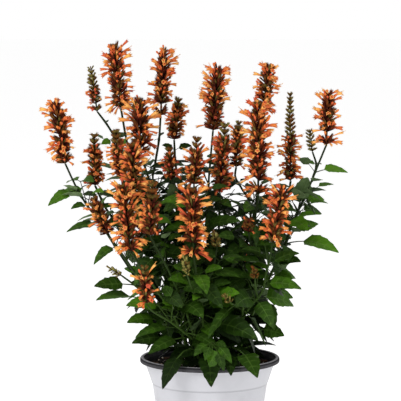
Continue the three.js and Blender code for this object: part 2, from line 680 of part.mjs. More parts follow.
// A leaf raised from one face of its stem: a petiole, then a toothed blade thickest at its rib
function raiseLeaf(shell, leaf, corners) {
  const teeth = teethOf(leaf)
  const centre = arcPoint(leaf, leaf.petiole)
  const { side, up } = bladeFrame(leaf, leaf.petiole)
  const under = shell.point(add(centre, up, -LEAF_HALF_THICKNESS))
  const right = shell.point(add(centre, side, PETIOLE_HALF_WIDTH))
  const over = shell.point(add(centre, up, LEAF_HALF_THICKNESS))
  const left = shell.point(add(centre, side, -PETIOLE_HALF_WIDTH))
  joinRings(shell, corners, [under, right, over, left])
  const tip = shell.point(leaf.tip)
  const ribs = [{ over, under }]
  const edges = { 1: [right], '-1': [left] }
  for (let tooth = 1; tooth <= teeth; tooth++) {
    const point = FIRST_TOOTH + TOOTHED_SHARE * (tooth - TOOTH_LEAD) / teeth
    const notch = FIRST_NOTCH + TOOTHED_SHARE * tooth / teeth
    for (const hand of [1, -1]) {
      edges[hand].push(shell.point(bladePoint(leaf, point, hand)))
      if (tooth < teeth) {
        edges[hand].push(shell.point(bladePoint(leaf, notch, NOTCH_DEPTH * hand)))
      }
    }
    if (tooth < teeth) {
      const place = bladeShare(leaf, notch)
      const rib = arcPoint(leaf, place)
      const ribUp = bladeFrame(leaf, place).up
      ribs.push({ over: shell.point(add(rib, ribUp, LEAF_HALF_THICKNESS)),
        under: shell.point(add(rib, ribUp, -LEAF_HALF_THICKNESS)) })
    }
  }
  for (const hand of [1, -1]) {
    for (const level of ['over', 'under']) {
      const upright = (hand === 1) === (level === 'over')
      const put = (a, b, c) => (upright ? shell.face(a, b, c) : shell.face(c, b, a))
      const edge = [...edges[hand], tip]
      for (let tooth = 0; tooth < teeth; tooth++) {
        const rib = ribs[tooth][level]
        const nextRib = tooth + 1 < teeth ? ribs[tooth + 1][level] : tip
        const before = edge[2 * tooth]
        const point = edge[2 * tooth + 1]
        const notch = edge[2 * tooth + 2]
        put(rib, point, before)
        put(rib, nextRib, point)
        if (notch !== nextRib) {
          put(nextRib, notch, point)
        }
      }
    }
  }
}

function buildStalk(stalk) {
  const shell = new Shell()
  const { trace, nodes } = stalk
  let azimuth = nodes.length ? nodes[0].azimuth : 0
  const ring = (length, direction) => squareRing(shell, pointAt(trace, length), direction, azimuth,
    halfWidthAt(stalk, length))
  let below = ring(0, stalk.parent ? directionAt(trace, 0) : [0, 0, 1])
  shell.face(below[3], below[2], below[1], below[0])
  if (!stalk.parent) {
    const collar = stalk.route[1][2] - stalk.route[0][2]
    const above = ring(collar, directionAt(trace, collar))
    joinRings(shell, below, above)
    below = above
  }
  for (const node of nodes.filter((one) => Object.keys(one.leaves).length > 0)) {
    const direction = directionAt(trace, node.length)
    const turns = Math.round((azimuth - node.azimuth) / 90)
    azimuth = node.azimuth + 90 * turns
    const low = ring(node.length - NODE_HALF_HEIGHT, direction)
    const high = ring(node.length + NODE_HALF_HEIGHT, direction)
    joinRings(shell, below, low)
    const faces = Object.keys(node.leaves).map((face) => (((Number(face) - turns) % 4) + 4) % 4)
    joinRings(shell, low, high, faces)
    Object.values(node.leaves).forEach((leaf, order) => {
      const face = faces[order]
      const next = (face + 1) % 4
      raiseLeaf(shell, leaf, [low[face], low[next], high[next], high[face]])
    })
    below = high
  }
  const top = ring(trace.total, stalk.endDirection)
  joinRings(shell, below, top)
  shell.face(...top)
  return shell.geometry()
}

// One open flower raised from a face of the head's core: a tube that widens to a lipped mouth
function raiseFlower(shell, corners, centre, out, side, up) {
  const [lowLeft, lowRight, highRight, highLeft] = corners
  const drop = add(centre, up, -MOUTH_DROP)
  const mouthLeft = shell.point(add(drop, side, -MOUTH_HALF_WIDTH))
  const mouthRight = shell.point(add(drop, side, MOUTH_HALF_WIDTH))
  const lip = shell.point(add(add(centre, up, MOUTH_RISE), out, LIP_REACH))
  shell.face(lowLeft, lowRight, mouthRight, mouthLeft)
  shell.face(lowRight, highRight, mouthRight)
  shell.face(highRight, lip, mouthRight)
  shell.face(highRight, highLeft, lip)
  shell.face(highLeft, lowLeft, mouthLeft)
  shell.face(highLeft, mouthLeft, lip)
  shell.face(mouthLeft, mouthRight, lip)
}

function raiseCalyx(shell, corners, point) {
  const apex = shell.point(point)
  const [a, b, c, d] = corners
  shell.face(a, b, apex)
  shell.face(b, c, apex)
  shell.face(c, d, apex)
  shell.face(d, a, apex)
}

// A flower head: a slim square core, with a whorl of four flowers or calyces at every step,
// each whorl turned half a face on from the one below
function buildHead(head) {
  const shell = new Shell()
  const draw = makeDraw(HEAD_SEED + head.index)
  const length = distance(head.base, head.tip)
  const whorls = Math.max(1, Math.round(length / WHORL_SPACING))
  const step = length / whorls
  const coreAt = (share) => CORE_HALF_WIDTH + (CORE_TIP_HALF_WIDTH - CORE_HALF_WIDTH) * share
  const small = Math.min(1, head.reach / SMALL_HEAD_REACH)
  const quarterTurn = 90
  const angleRange = 40
  let angle = angleRange * draw()
  const ringAt = (along, halfWidth) => squareRing(shell, add(head.base, head.axis, along), head.axis,
    angle, halfWidth)
  let below = ringAt(0, halfWidthAt(head.carrier, head.carrier.trace.total))
  shell.face(below[3], below[2], below[1], below[0])
  for (let whorl = 0; whorl < whorls; whorl++) {
    if (whorl > 0 && whorl <= (head.apart || 0)) {
      continue
    }
    const share = (whorl + 0.5) / whorls
    const open = share >= head.bloom[0] && share < head.bloom[1]
    const taper = Math.min(1, TIP_SHARE + TIP_GROWTH * (1 - share))
    const low = ringAt(step * (whorl + WHORL_FOOT), coreAt(share) * small)
    const high = ringAt(step * (whorl + WHORL_TOP), coreAt(share) * small)
    joinRings(shell, below, low)
    for (let face = 0; face < 4; face++) {
      const turn = (angle + quarterTurn * face) * DEGREE
      const flat = [Math.cos(turn), Math.sin(turn), 0]
      const out = unit(add(flat, head.axis, -dot(flat, head.axis)))
      const side = cross(head.axis, out)
      const next = (face + 1) % 4
      const corners = [low[face], low[next], high[next], high[face]]
      const centre = add(head.base, head.axis, step * (whorl + (WHORL_FOOT + WHORL_TOP) / 2))
      if (open) {
        const reach = head.reach * taper * (LEAST_REACH_SHARE + 0.2 * draw())
        const rise = reach * (LEAST_CLIMB + MOST_CLIMB_GAIN * draw())
        const mouth = add(add(centre, out, reach - LIP_REACH), head.axis, rise)
        raiseFlower(shell, corners, mouth, out, side, head.axis)
      } else {
        const reach = head.calyx * taper * (0.9 + 0.2 * draw())
        raiseCalyx(shell, corners, add(add(centre, out, reach), head.axis, reach * CALYX_RISE))
      }
    }
    below = high
    angle += quarterTurn / 2
  }
  const tip = shell.point(head.tip)
  for (let face = 0; face < 4; face++) {
    shell.face(below[face], below[(face + 1) % 4], tip)
  }
  return shell.geometry()
}

// Solids that can be cut and joined

const wasm = await Module()
wasm.setup()

function toSolid(geometry) {
  const bare = geometry.index ? geometry.clone() : mergeVertices(geometry)
  bare.deleteAttribute('normal')
  bare.deleteAttribute('uv')
  const merged = mergeVertices(bare, 1e-4)
  const index = []
  for (let corner = 0; corner < merged.index.count; corner += 3) {
    const [a, b, c] = [0, 1, 2].map((offset) => merged.index.getX(corner + offset))
    if (a !== b && b !== c && c !== a) {
      index.push(a, b, c)
    }
  }
  const vertProperties = new Float32Array(merged.attributes.position.array)
  const triVerts = new Uint32Array(index)
  return new wasm.Manifold(new wasm.Mesh({ numProp: 3, vertProperties, triVerts }))
}

function toGeometry(solid) {
  const mesh = solid.getMesh()
  const geometry = new THREE.BufferGeometry()
  geometry.setAttribute('position', new THREE.Float32BufferAttribute(mesh.vertProperties, 3))
  geometry.setIndex(new THREE.BufferAttribute(mesh.triVerts, 1))
  return geometry
}

// The pot: one thin moulding with a stepped collar, a rolled rim and drain holes in its floor

function buildPot() {
  const rimBottom = POT_HEIGHT - RIM_DEPTH
  const outside = [
    [0, 0],
    [POT_BASE_RADIUS - BASE_EDGE, 0],
    [POT_BASE_RADIUS, BASE_EDGE],
    [STEP_RADIUS, STEP_Z - STEP_HEIGHT],
    [STEP_RADIUS + STEP_OUT, STEP_Z],
    [COLLAR_RADIUS, COLLAR_Z],
    [COLLAR_RADIUS + COLLAR_FLARE, rimBottom - COLLAR_TOP_DROP],
    [RIM_RADIUS - RIM_UNDERCUT, rimBottom],
    [RIM_RADIUS, rimBottom + RIM_EDGE],
    [RIM_RADIUS, POT_HEIGHT - RIM_SHOULDER],
    [RIM_RADIUS - RIM_EDGE, POT_HEIGHT - RIM_CREST],
    [RIM_TOP_RADIUS, POT_HEIGHT],
  ]
  const inside = [
    [RIM_INNER_RADIUS, POT_HEIGHT - RIM_INNER_DROP],
    [COLLAR_RADIUS - POT_WALL, COLLAR_Z],
    [STEP_RADIUS + STEP_OUT - POT_WALL, STEP_Z],
    [POT_BASE_RADIUS - POT_WALL, POT_FLOOR],
    [0, POT_FLOOR],
  ]
  const profile = [...outside, ...inside].map(([radius, z]) => new THREE.Vector2(radius, z))
  let pot = toSolid(new THREE.LatheGeometry(profile, POT_SIDES).rotateX(Math.PI / 2))
  for (let hole = 0; hole < DRAIN_HOLES; hole++) {
    const turn = (hole + 0.5) * 2 * Math.PI / DRAIN_HOLES
    const [x, y] = [DRAIN_CIRCLE_RADIUS * Math.cos(turn), DRAIN_CIRCLE_RADIUS * Math.sin(turn)]
    const drill = new THREE.CylinderGeometry(DRAIN_HOLE_RADIUS, DRAIN_HOLE_RADIUS, 4 * POT_FLOOR,
      DRAIN_HOLE_SIDES)
    drill.rotateX(Math.PI / 2)
    drill.translate(x, y, 0)
    pot = pot.subtract(toSolid(drill))
  }
  return toGeometry(pot)
}

// The soil: a plug that fills the pot, uneven on top, with a plain hole for each stem's foot

function buildSoil() {
  const shell = new Shell()
  const draw = makeDraw(SOIL_SEED)
  const ringOf = (radius, z, relief) => Array.from({ length: POT_SIDES }, (_, side) => {
    const turn = side * 2 * Math.PI / POT_SIDES
    return shell.point([radius * Math.sin(turn), -radius * Math.cos(turn), z + relief * (draw() - 0.5)])
  })
  const inner = POT_WALL + FIT_GAP
  const rings = [
    ringOf(POT_BASE_RADIUS - inner, POT_FLOOR + FIT_GAP, 0),
    ringOf(STEP_RADIUS + STEP_OUT - inner, STEP_Z, 0),
    ringOf(COLLAR_RADIUS - inner - SOIL_TOP_GAP, SOIL_TOP - SOIL_EDGE_DROP, 0),
    ringOf(COLLAR_RADIUS - SOIL_RING_INSETS[0], SOIL_TOP, SOIL_RELIEF),
    ringOf(COLLAR_RADIUS - SOIL_RING_INSETS[1], SOIL_TOP + SOIL_CROWN / 2, SOIL_RELIEF),
    ringOf(COLLAR_RADIUS - SOIL_RING_INSETS[2], SOIL_TOP + SOIL_CROWN, 0),
  ]
  const bottom = shell.point([0, 0, POT_FLOOR + FIT_GAP])
  const top = shell.point([0, 0, SOIL_TOP + SOIL_CROWN])
  for (let ring = 1; ring < rings.length; ring++) {
    joinRings(shell, rings[ring - 1], rings[ring])
  }
  for (let side = 0; side < POT_SIDES; side++) {
    const next = (side + 1) % POT_SIDES
    shell.face(rings[0][next], rings[0][side], bottom)
    shell.face(rings[rings.length - 1][side], rings[rings.length - 1][next], top)
  }
  let soil = toSolid(shell.geometry())
  for (const stem of stems) {
    const [x, y, z] = stem.route[0]
    const side = 2 * (STEM_ROOT_HALF_WIDTH + FIT_GAP)
    const depth = 2 * (SOIL_TOP - z) + FIT_GAP
    const hole = new THREE.BoxGeometry(side, side, depth)
    hole.rotateZ(stem.nodes[0].azimuth * DEGREE)
    hole.translate(x, y, z - FIT_GAP + depth / 2)
    soil = soil.subtract(toSolid(hole))
  }
  return toGeometry(soil)
}

// A stem with its leaves, and its side branches joined to it
function buildStem(stem) {
  let solid = toSolid(buildStalk(stem))
  for (const branch of branches.filter((one) => one.parent === stem)) {
    solid = solid.add(toSolid(buildStalk(branch)))
  }
  return toGeometry(solid)
}

const plant = new THREE.Group()

function place(name, geometry, material) {
  const mesh = new THREE.Mesh(geometry, material)
  mesh.name = name
  plant.add(mesh)
}

place('pot', buildPot(), potPlastic)
place('soil', buildSoil(), soilMix)
stems.forEach((stem) => place(stem.name, buildStem(stem), leafGreen))
heads.forEach((head) => place(head.name, buildHead(head), head.bloom[1] > 0 ? openOrange : budBrown))

export default plant
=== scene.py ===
"""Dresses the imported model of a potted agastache: a bushy herb with spikes of orange flowers in
a white nursery pot. Leaves, florets and soil are finer than the solids they stand for, and lie
where those lie, because the plant is laid out here by the same rules and the same seeds."""

import functools
import itertools
import json
import math

import bmesh
import bpy
from bpy.props import FloatProperty, FloatVectorProperty, IntProperty, PointerProperty
from mathutils import Matrix, Vector, noise

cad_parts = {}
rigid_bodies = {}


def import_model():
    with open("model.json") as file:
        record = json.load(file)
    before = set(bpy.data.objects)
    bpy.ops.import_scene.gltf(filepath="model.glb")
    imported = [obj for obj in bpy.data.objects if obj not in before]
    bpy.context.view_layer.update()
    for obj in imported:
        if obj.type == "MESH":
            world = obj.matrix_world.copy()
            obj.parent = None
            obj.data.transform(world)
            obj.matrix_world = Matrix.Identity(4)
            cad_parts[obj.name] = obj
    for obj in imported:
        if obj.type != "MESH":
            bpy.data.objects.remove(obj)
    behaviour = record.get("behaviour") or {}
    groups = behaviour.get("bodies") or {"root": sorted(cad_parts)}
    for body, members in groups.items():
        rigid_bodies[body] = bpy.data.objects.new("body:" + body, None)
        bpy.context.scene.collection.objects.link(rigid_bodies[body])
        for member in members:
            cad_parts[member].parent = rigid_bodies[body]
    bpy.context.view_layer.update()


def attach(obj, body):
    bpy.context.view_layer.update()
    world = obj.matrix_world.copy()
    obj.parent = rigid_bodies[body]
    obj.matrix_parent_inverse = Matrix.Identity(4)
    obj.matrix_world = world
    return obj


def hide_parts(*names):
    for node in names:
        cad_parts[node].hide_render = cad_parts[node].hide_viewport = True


bl_info = {
    "name": "Potted agastache",
    "version": (1, 0, 0),
    "blender": (4, 5, 0),
    "location": "View3D > Sidebar > Agastache",
    "description": "Builds the pot, soil, leafy stems and flower spikes of a potted agastache",
    "category": "Add Mesh",
}

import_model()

MM = 0.001
DEGREE = math.pi / 180

# The pot, in millimetres
POT_HEIGHT = 150
POT_FLOOR = 2
POT_WALL = 1.4
POT_BASE_RADIUS = 52.4
STEP_RADIUS = 69.3
STEP_Z = 119
STEP_OUT = 0.7
COLLAR_RADIUS = 76.3
COLLAR_Z = 138
RIM_RADIUS = 84
RIM_DEPTH = 6
RIM_INNER_RADIUS = 79
DRAIN_HOLES = 6
DRAIN_HOLE_RADIUS = 5
DRAIN_CIRCLE_RADIUS = 39

# The soil
SOIL_TOP = 138
SOIL_CRUMB_RISE = 3.4
STEM_FOOT_Z = 126
FIT_GAP = 0.3

# Stems, square in section as in the whole mint family
STEM_ROOT_HALF_WIDTH = 1.6
STEM_TIP_HALF_WIDTH = 1.1
BRANCH_ROOT_HALF_WIDTH = 1.25
BRANCH_TIP_HALF_WIDTH = 0.9
BRANCH_TURN = 50
BRANCH_BARE_HEIGHT = 290
BRANCH_LOWEST_NODE = 22
HIGHEST_NODE_DROP = 14
HEAD_GAP = 0.3

# Leaves
LEAF_FOLD = 0.22
LEAF_LIFT = 0.22
BRACT_LENGTH = 16
BRACT_SIZE = (11, 3)
FULL_SIZE = (50, 16)
HIGH_LOSS = (22, 8)
LEAF_WIDTH_RATIO = 0.31
OUTWARD_ROLL = 38
NODE_SPACING = 34
BARE_SPACING = 58
LEAST_NODE_GAP = 12
LOWEST_NODE = 20
CLEAR_DISTANCE = 7
SAMPLE_STEP = 5.6

# Seeds of the draws for what only the finer plant has
BARK_SEED = 31
PERLITE_SEED = 47
STEM_SEED = 900
HEAD_SEED = 2000

# Each stem: name, turn of its lowest node, height where it turns bare, its route from the soil
# up to its head as listed points, and the leaves that are aimed at a place: height on the
# stem, leaf tip x, y, z, blade length, roll in degrees, and how high the leaf arches on its way
# as a share of its reach, where that isn't LEAF_LIFT.
STEMS = [
    ("stem_01", 20, 330, [(-33, -4, 142), (-60, -8, 200), (-110, -14, 280), (-130, -12, 311),
        (-148, -10, 336), (-160, -10, 357), (-172, -10, 383)],
        [(351, -192, -24, 334, 30, -35), (333, -165, -22, 330, 20, -30),
         (284, -138, -26, 264, 32, -20)]),
    ("stem_02", 65, 322, [(-27, 8, 142), (-50, 10, 200), (-85, 8, 262), (-116, 7, 315),
        (-126, 10, 330), (-138, 15, 355)], []),
    ("stem_03", 10, 380, [(-24, 20, 142), (-45, 35, 220), (-85, 54, 330), (-112, 62, 400),
        (-123, 64, 422), (-138, 70, 442)], [(405, -132, 44, 403, 16, -50)]),
    ("stem_04", 40, 360, [(-18, 10, 142), (-38, 20, 220), (-72, 36, 320), (-98, 49, 395),
        (-108, 45, 447)], []),
    ("stem_05", 75, 350, [(-16, -2, 142), (-30, 3, 220), (-56, 11, 310), (-74, 16, 365),
        (-83, 20, 392)], [(215, -62, -2, 212, 38, -55)]),
    ("stem_06", 0, 330, [(-24, -6, 142), (-42, -9, 215), (-76, -13, 300), (-96, -16, 345),
        (-104, -18, 367)], []),
    ("stem_07", 50, 310, [(-16, -16, 142), (-34, -26, 210), (-62, -42, 280), (-82, -52, 325),
        (-88, -55, 344)], [(176, -58, -38, 168, 30, -35)]),
    ("stem_08", 30, 270, [(-21, -23, 142), (-40, -45, 200), (-72, -78, 255), (-91, -95, 287)],
        [(190, -88, -62, 182, 40, -15), (212, -98, -76, 222, 40, -35)]),
    ("stem_09", 60, 285, [(-30, -13, 142), (-55, -22, 200), (-98, -38, 270), (-120, -50, 303)],
        [(238, -136, -62, 243, 38, -40, 0.1), (215, -134, -60, 226, 44, -15),
         (192, -98, -50, 198, 36, -35), (170, -93, -34, 171, 36, -40)]),
    ("stem_10", 15, 280, [(-12, -28, 142), (-24, -52, 200), (-44, -82, 255), (-60, -102, 290),
        (-69, -112, 308)],
        [(163, -55, -106, 129, 38, 0, 0.4), (178, -72, -80, 166, 38, -20),
         (222, -8, -99, 211, 40, 30)]),
    ("stem_11", 80, 345, [(-9, 11, 142), (-22, 22, 220), (-48, 34, 300), (-68, 41, 354),
        (-67, 48, 376), (-62, 55, 407), (-60, 62, 437)],
        [(372, -50, 40, 384, 18, 0), (408, -56, 44, 418, 10, 0)]),
    ("stem_12", 35, 360, [(-9, 22, 142), (-18, 44, 220), (-34, 76, 320), (-42, 95, 375),
        (-44, 102, 405)], [(392, -59, 92, 399, 17, -50), (392, -22, 92, 398, 18, 50)]),
    ("stem_13", 5, 345, [(-9, -6, 142), (-18, -7, 220), (-34, -7, 310), (-43, -6, 345),
        (-45, -5, 364)], [(322, -48, -38, 360, 30, 60)]),
    ("stem_14", 70, 335, [(-4, -14, 142), (-9, -22, 220), (-16, -32, 310), (-19, -35, 360)],
        [(302, 36, -50, 318, 44, 30), (166, -17, -70, 170, 28, 0, 0.3)]),
    ("stem_15", 25, 262, [(-3, -25, 142), (-7, -48, 190), (-14, -80, 245), (-19, -95, 283)],
        [(163, 1, -125, 135, 45, 0, 0.3), (197, 56, -84, 182, 50, 40), (210, -7, -94, 233, 20, 0),
         (226, 34, -100, 240, 44, 40, 0.1), (262, -4, -124, 242, 34, 0)]),
    ("stem_16", 45, 340, [(5, -5, 142), (8, -5, 230), (11, -5, 310), (12, -5, 348)],
        [(168, 12, -74, 166, 26, 0, 0.3)]),
    ("stem_17", 85, 350, [(1, 12, 142), (-2, 26, 220), (-3, 40, 310), (-1, 45, 361), (1, 48, 385),
        (4, 50, 419)], []),
    ("stem_18", 55, 335, [(11, 9, 142), (30, 13, 220), (46, 18, 290), (49, 22, 330), (39, 28, 350),
        (31, 31, 364), (32, 32, 376)], []),
    ("stem_19", 20, 345, [(12, 20, 142), (30, 32, 230), (56, 40, 330), (60, 32, 400),
        (64, 22, 444)], []),
    ("stem_20", 65, 325, [(14, -12, 142), (30, -22, 215), (48, -36, 290), (57, -45, 349)], []),
    ("stem_21", 30, 335, [(21, 2, 142), (46, 5, 220), (74, 8, 300), (93, 10, 340), (97, 10, 361)],
        [(312, 115, -50, 308, 34, 30)]),
    ("stem_22", 50, 355, [(30, -4, 142), (54, -10, 210), (90, -12, 287), (94, -10, 300),
        (104, -6, 324), (114, -3, 344), (126, 0, 373), (139, 0, 405)],
        [(178, 88, -46, 182, 32, 75), (288, 152, -42, 280, 46, 25), (297, 108, -38, 306, 22, -30),
         (316, 132, -18, 323, 28, 20), (325, 116, -22, 368, 36, -35), (339, 138, 8, 338, 26, 50),
         (372, 166, 8, 371, 30, 30), (372, 106, -18, 390, 20, 40), (263, 108, -30, 268, 30, 40),
         (249, 97, -38, 248, 28, 35)]),
    ("stem_23", 10, 280, [(15, -27, 142), (28, -34, 180), (46, -44, 215), (61, -54, 235),
        (65, -64, 257), (69, -72, 274), (72, -82, 296)],
        [(164, 54, -121, 145, 44, 10, 0.25), (157, 24, -102, 144, 28, 0, 0.4),
         (225, 73, -76, 196, 36, 30), (244, 107, -66, 240, 38, 35), (268, 104, -72, 283, 32, 30)]),
]

# Side branches: name, the stem each one grows from, the height where it leaves, and its route
BRANCHES = [
    ("branch_1", "stem_09", 208, [(-85, -40, 238), (-104, -48, 254)]),
    ("branch_2", "stem_10", 176, [(-45, -80, 203), (-66, -106, 220), (-73, -115, 230)]),
    ("branch_3", "stem_22", 366, [(128, 14, 380), (124, 25, 395)]),
    ("branch_4", "stem_15", 222, [(-19, -92, 240), (-26, -116, 262)]),
    ("branch_5", "stem_15", 234, [(2, -79, 262), (8, -77, 290)]),
    ("branch_6", "stem_20", 262, [(47, -55, 285), (45, -70, 307)]),
    ("branch_7", "stem_23", 228, [(53, -74, 241), (52, -86, 254)]),
    ("branch_8", "stem_23", 200, [(38, -68, 223), (28, -92, 226), (24, -105, 229)]),
    ("branch_9", "stem_12", 200, [(-30, 82, 235), (-36, 112, 262)]),
    ("branch_10", "stem_19", 186, [(42, 72, 220), (51, 105, 245)]),
    ("branch_11", "stem_03", 212, [(-64, 68, 244), (-80, 88, 264)]),
]

# Flower heads: name, carrier, tip, the reach of the open flowers and of the calyces from the
# axis, the stretch in bloom as fractions of the length from below, then the look: how many
# whorls are missing above the lowest one, how green the calyces are, how yellow the flowers
# are, and the side that most flowers open on, in degrees, or None for all round.
HEADS = [
    ("spike_01", "stem_01", (-184, -10, 459), 19, 11, (0, 0.95), 0, 0.2, 0.55, None),
    ("spike_02", "stem_03", (-146, 70, 498), 11, 7, (0, 0.45), 1, 0.65, 0.2, 200),
    ("spike_03", "stem_04", (-116, 45, 527), 20, 11, (0, 0.9), 0, 0.1, 0.5, None),
    ("spike_04", "stem_05", (-85, 20, 458), 24, 13, (0, 0.96), 0, 0.15, 0.6, None),
    ("spike_05", "stem_06", (-112, -18, 425), 15, 9, (0.1, 0.66), 0, 0.35, 0.5, None),
    ("spike_06", "stem_07", (-91, -55, 412), 18, 11, (0, 0.8), 0, 0.25, 0.55, None),
    ("spike_07", "stem_08", (-101, -95, 368), 20, 11, (0, 0.86), 1, 0.3, 0.62, None),
    ("spike_08", "stem_10", (-65, -112, 370), 14, 10, (0.05, 0.62), 0, 0.3, 0.5, None),
    ("spike_09", "stem_09", (-137, -50, 347), 16, 9, (0.2, 0.8), 0, 0.3, 0.8, 200),
    ("spike_10", "stem_02", (-139, 15, 419), 15, 9, (0.12, 0.62), 0, 0.4, 0.5, None),
    ("spike_11", "stem_11", (-55, 62, 517), 18, 10, (0.16, 0.95), 1, 0.2, 0.55, None),
    ("spike_12", "stem_12", (-38, 102, 458), 15, 9, (0.1, 0.72), 0, 0.55, 0.5, None),
    ("spike_13", "stem_17", (10, 50, 496), 20, 12, (0.32, 0.97), 0, 0.3, 0.5, None),
    ("spike_14", "stem_14", (-15, -35, 417), 17, 9, (0, 0.6), 0, 0.25, 0.4, None),
    ("spike_15", "stem_13", (-49, -5, 402), 13, 8, (0, 0.6), 0, 0.3, 0.25, None),
    ("spike_16", "stem_16", (18, -5, 433), 16, 10, (0.16, 0.74), 0, 0.5, 0.3, None),
    ("spike_17", "stem_18", (35, 32, 433), 13, 8, (0.1, 0.75), 0, 0.6, 0.5, None),
    ("spike_18", "stem_19", (71, 22, 499), 17, 10, (0, 0.92), 0, 0.2, 0.6, None),
    ("spike_19", "stem_20", (56, -45, 461), 22, 12, (0, 0.92), 1, 0.2, 0.55, None),
    ("spike_20", "stem_21", (96, 10, 470), 15, 7, (0, 0.5), 0, 0.55, 0.5, None),
    ("spike_21", "stem_22", (142, 0, 469), 18, 10, (0, 0.95), 1, 0.2, 0.6, None),
    ("spike_22", "branch_3", (120, 25, 422), 6, 6, (0, 0), 0, 0.8, 0.5, None),
    ("spike_23", "stem_15", (-21, -95, 363), 20, 11, (0, 0.9), 1, 0.25, 0.5, None),
    ("spike_24", "stem_23", (84, -82, 364), 19, 10, (0, 0.9), 0, 0.35, 0.55, None),
    ("spike_25", "branch_2", (-75, -115, 274), 17, 8, (0, 0.7), 0, 0.5, 0.55, None),
    ("bud_26", "branch_1", (-117, -50, 262), 5, 5, (0, 0), 0, 0.9, 0.5, None),
    ("bud_27", "branch_4", (-29, -119, 282), 5, 5, (0, 0), 0, 0.95, 0.5, None),
    ("bud_28", "branch_6", (44, -72, 321), 8, 7, (0, 0.9), 0, 0.3, 0.35, None),
    ("bud_29", "branch_7", (51, -89, 267), 5, 5, (0, 0), 0, 0.3, 0.5, None),
    ("bud_30", "branch_8", (18, -108, 238), 5, 5, (0, 0), 0, 0.9, 0.5, None),
    ("bud_31", "branch_5", (5, -77, 305), 6, 6, (0, 0), 0, 0.85, 0.5, None),
    ("spike_32", "branch_9", (-41, 120, 322), 16, 10, (0, 0.75), 0, 0.3, 0.5, None),
    ("spike_33", "branch_10", (56, 113, 304), 16, 10, (0, 0.75), 0, 0.3, 0.5, None),
    ("spike_34", "branch_11", (-87, 96, 324), 15, 10, (0, 0.7), 0, 0.3, 0.5, None),
]

# The young shoot at the front that only the finer plant has: the stem it grows from, where it
# starts and ends, and its leaves: root, tip, blade length, roll and tone.
FRONT_SHOOT_STEM = "stem_15"
FRONT_SHOOT = [(-5, -39, 172), (2, -84, 180)]
FRONT_LEAVES = [
    ((2, -80, 179), (-19, -97, 166), 22, -30, 0.5),
    ((2, -84, 180), (3, -103, 148), 25, 10, 0.66),
    ((2, -82, 180), (25, -99, 158), 23, 30, 0.55),
    ((2, -78, 179), (19, -92, 176), 16, 40, 0.4),
    ((-8, -56, 203), (3, -90, 189), 24, 0, 0.5),
    ((2, -84, 180), (-6, -104, 162), 18, -20, 0.55),
    ((2, -84, 180), (16, -106, 150), 20, 20, 0.3),
]


# Plain vector sums on (x, y, z) tuples, in double precision as in the solids' own layout

def add(a, b, scale=1):
    return (a[0] + b[0] * scale, a[1] + b[1] * scale, a[2] + b[2] * scale)


def dot(a, b):
    return a[0] * b[0] + a[1] * b[1] + a[2] * b[2]


def cross(a, b):
    return (a[1] * b[2] - a[2] * b[1], a[2] * b[0] - a[0] * b[2], a[0] * b[1] - a[1] * b[0])


def between(a, b, share):
    return tuple(a[axis] + (b[axis] - a[axis]) * share for axis in range(3))


def distance(a, b):
    return math.sqrt((b[0] - a[0]) ** 2 + (b[1] - a[1]) ** 2 + (b[2] - a[2]) ** 2)


def unit(a):
    size = math.sqrt(dot(a, a))
    return (a[0] / size, a[1] / size, a[2] / size)


def tip_of(root, azimuth, slope, reach):
    """The point at that reach from root, by its azimuth and its slope in degrees."""
    level_reach = reach * math.cos(slope * DEGREE)
    return (
        root[0] + level_reach * math.cos(azimuth * DEGREE),
        root[1] + level_reach * math.sin(azimuth * DEGREE),
        root[2] + reach * math.sin(slope * DEGREE),
    )


def on_circle(radius, turn):
    """A point of a circle, for a share of the full turn."""
    angle = 2 * math.pi * turn
    return radius * math.cos(angle), radius * math.sin(angle)


def around(centre, level, across, radius, turn):
    """A point of the circle round centre that lies in the plane of two unit vectors."""
    x, y = on_circle(radius, turn)
    return add(add(centre, level, x), across, y)


def clamp(value, low=0.0, high=1.0):
    return min(high, max(low, value))


def whole(value):
    return math.floor(value + 0.5)


def make_draw(seed):
    """Seeded draws between 0 and 1, the same on every run."""
    state = seed * 7919 + 17

    def draw():
        nonlocal state
        state = (state * 16807) % 2147483647
        return state / 2147483647

    return draw


# Routes: a smooth curve through the given points, kept as a fine line with its length

class Trace:
    def __init__(self, points):
        span_steps = 10
        first = add(points[0], add(points[1], points[0], -1), -1)
        last = add(points[-1], add(points[-2], points[-1], -1), -1)
        every = [first, *points, last]
        self.line = []
        for span in range(len(points) - 1):
            p0, p1, p2, p3 = every[span:span + 4]
            for step in range(0 if span == 0 else 1, span_steps + 1):
                t = step / span_steps
                point = []
                for axis in range(3):
                    slope = p2[axis] - p0[axis]
                    bend = 2 * p0[axis] - 5 * p1[axis] + 4 * p2[axis] - p3[axis]
                    twist = 3 * p1[axis] - p0[axis] - 3 * p2[axis] + p3[axis]
                    point.append(p1[axis] + 0.5 * (slope * t + bend * t * t + twist * t * t * t))
                self.line.append(tuple(point))
        self.lengths = [0]
        for index in range(1, len(self.line)):
            span = distance(self.line[index - 1], self.line[index])
            self.lengths.append(self.lengths[-1] + span)
        self.total = self.lengths[-1]

    def point_at(self, length):
        index = 1
        while index < len(self.line) - 1 and self.lengths[index] < length:
            index += 1
        start = self.lengths[index - 1]
        share = (length - start) / (self.lengths[index] - start)
        return between(self.line[index - 1], self.line[index], share)

    def direction_at(self, length):
        reach = 3
        return unit(add(self.point_at(length + reach), self.point_at(length - reach), -1))

    def length_at_height(self, height):
        index = 1
        while index < len(self.line) - 1 and self.line[index][2] < height:
            index += 1
        low = self.line[index - 1][2]
        share = (height - low) / (self.line[index][2] - low)
        return self.lengths[index - 1] + share * (self.lengths[index] - self.lengths[index - 1])


# Leaves: each one follows an arc from its node to its tip, first a petiole, then a blade

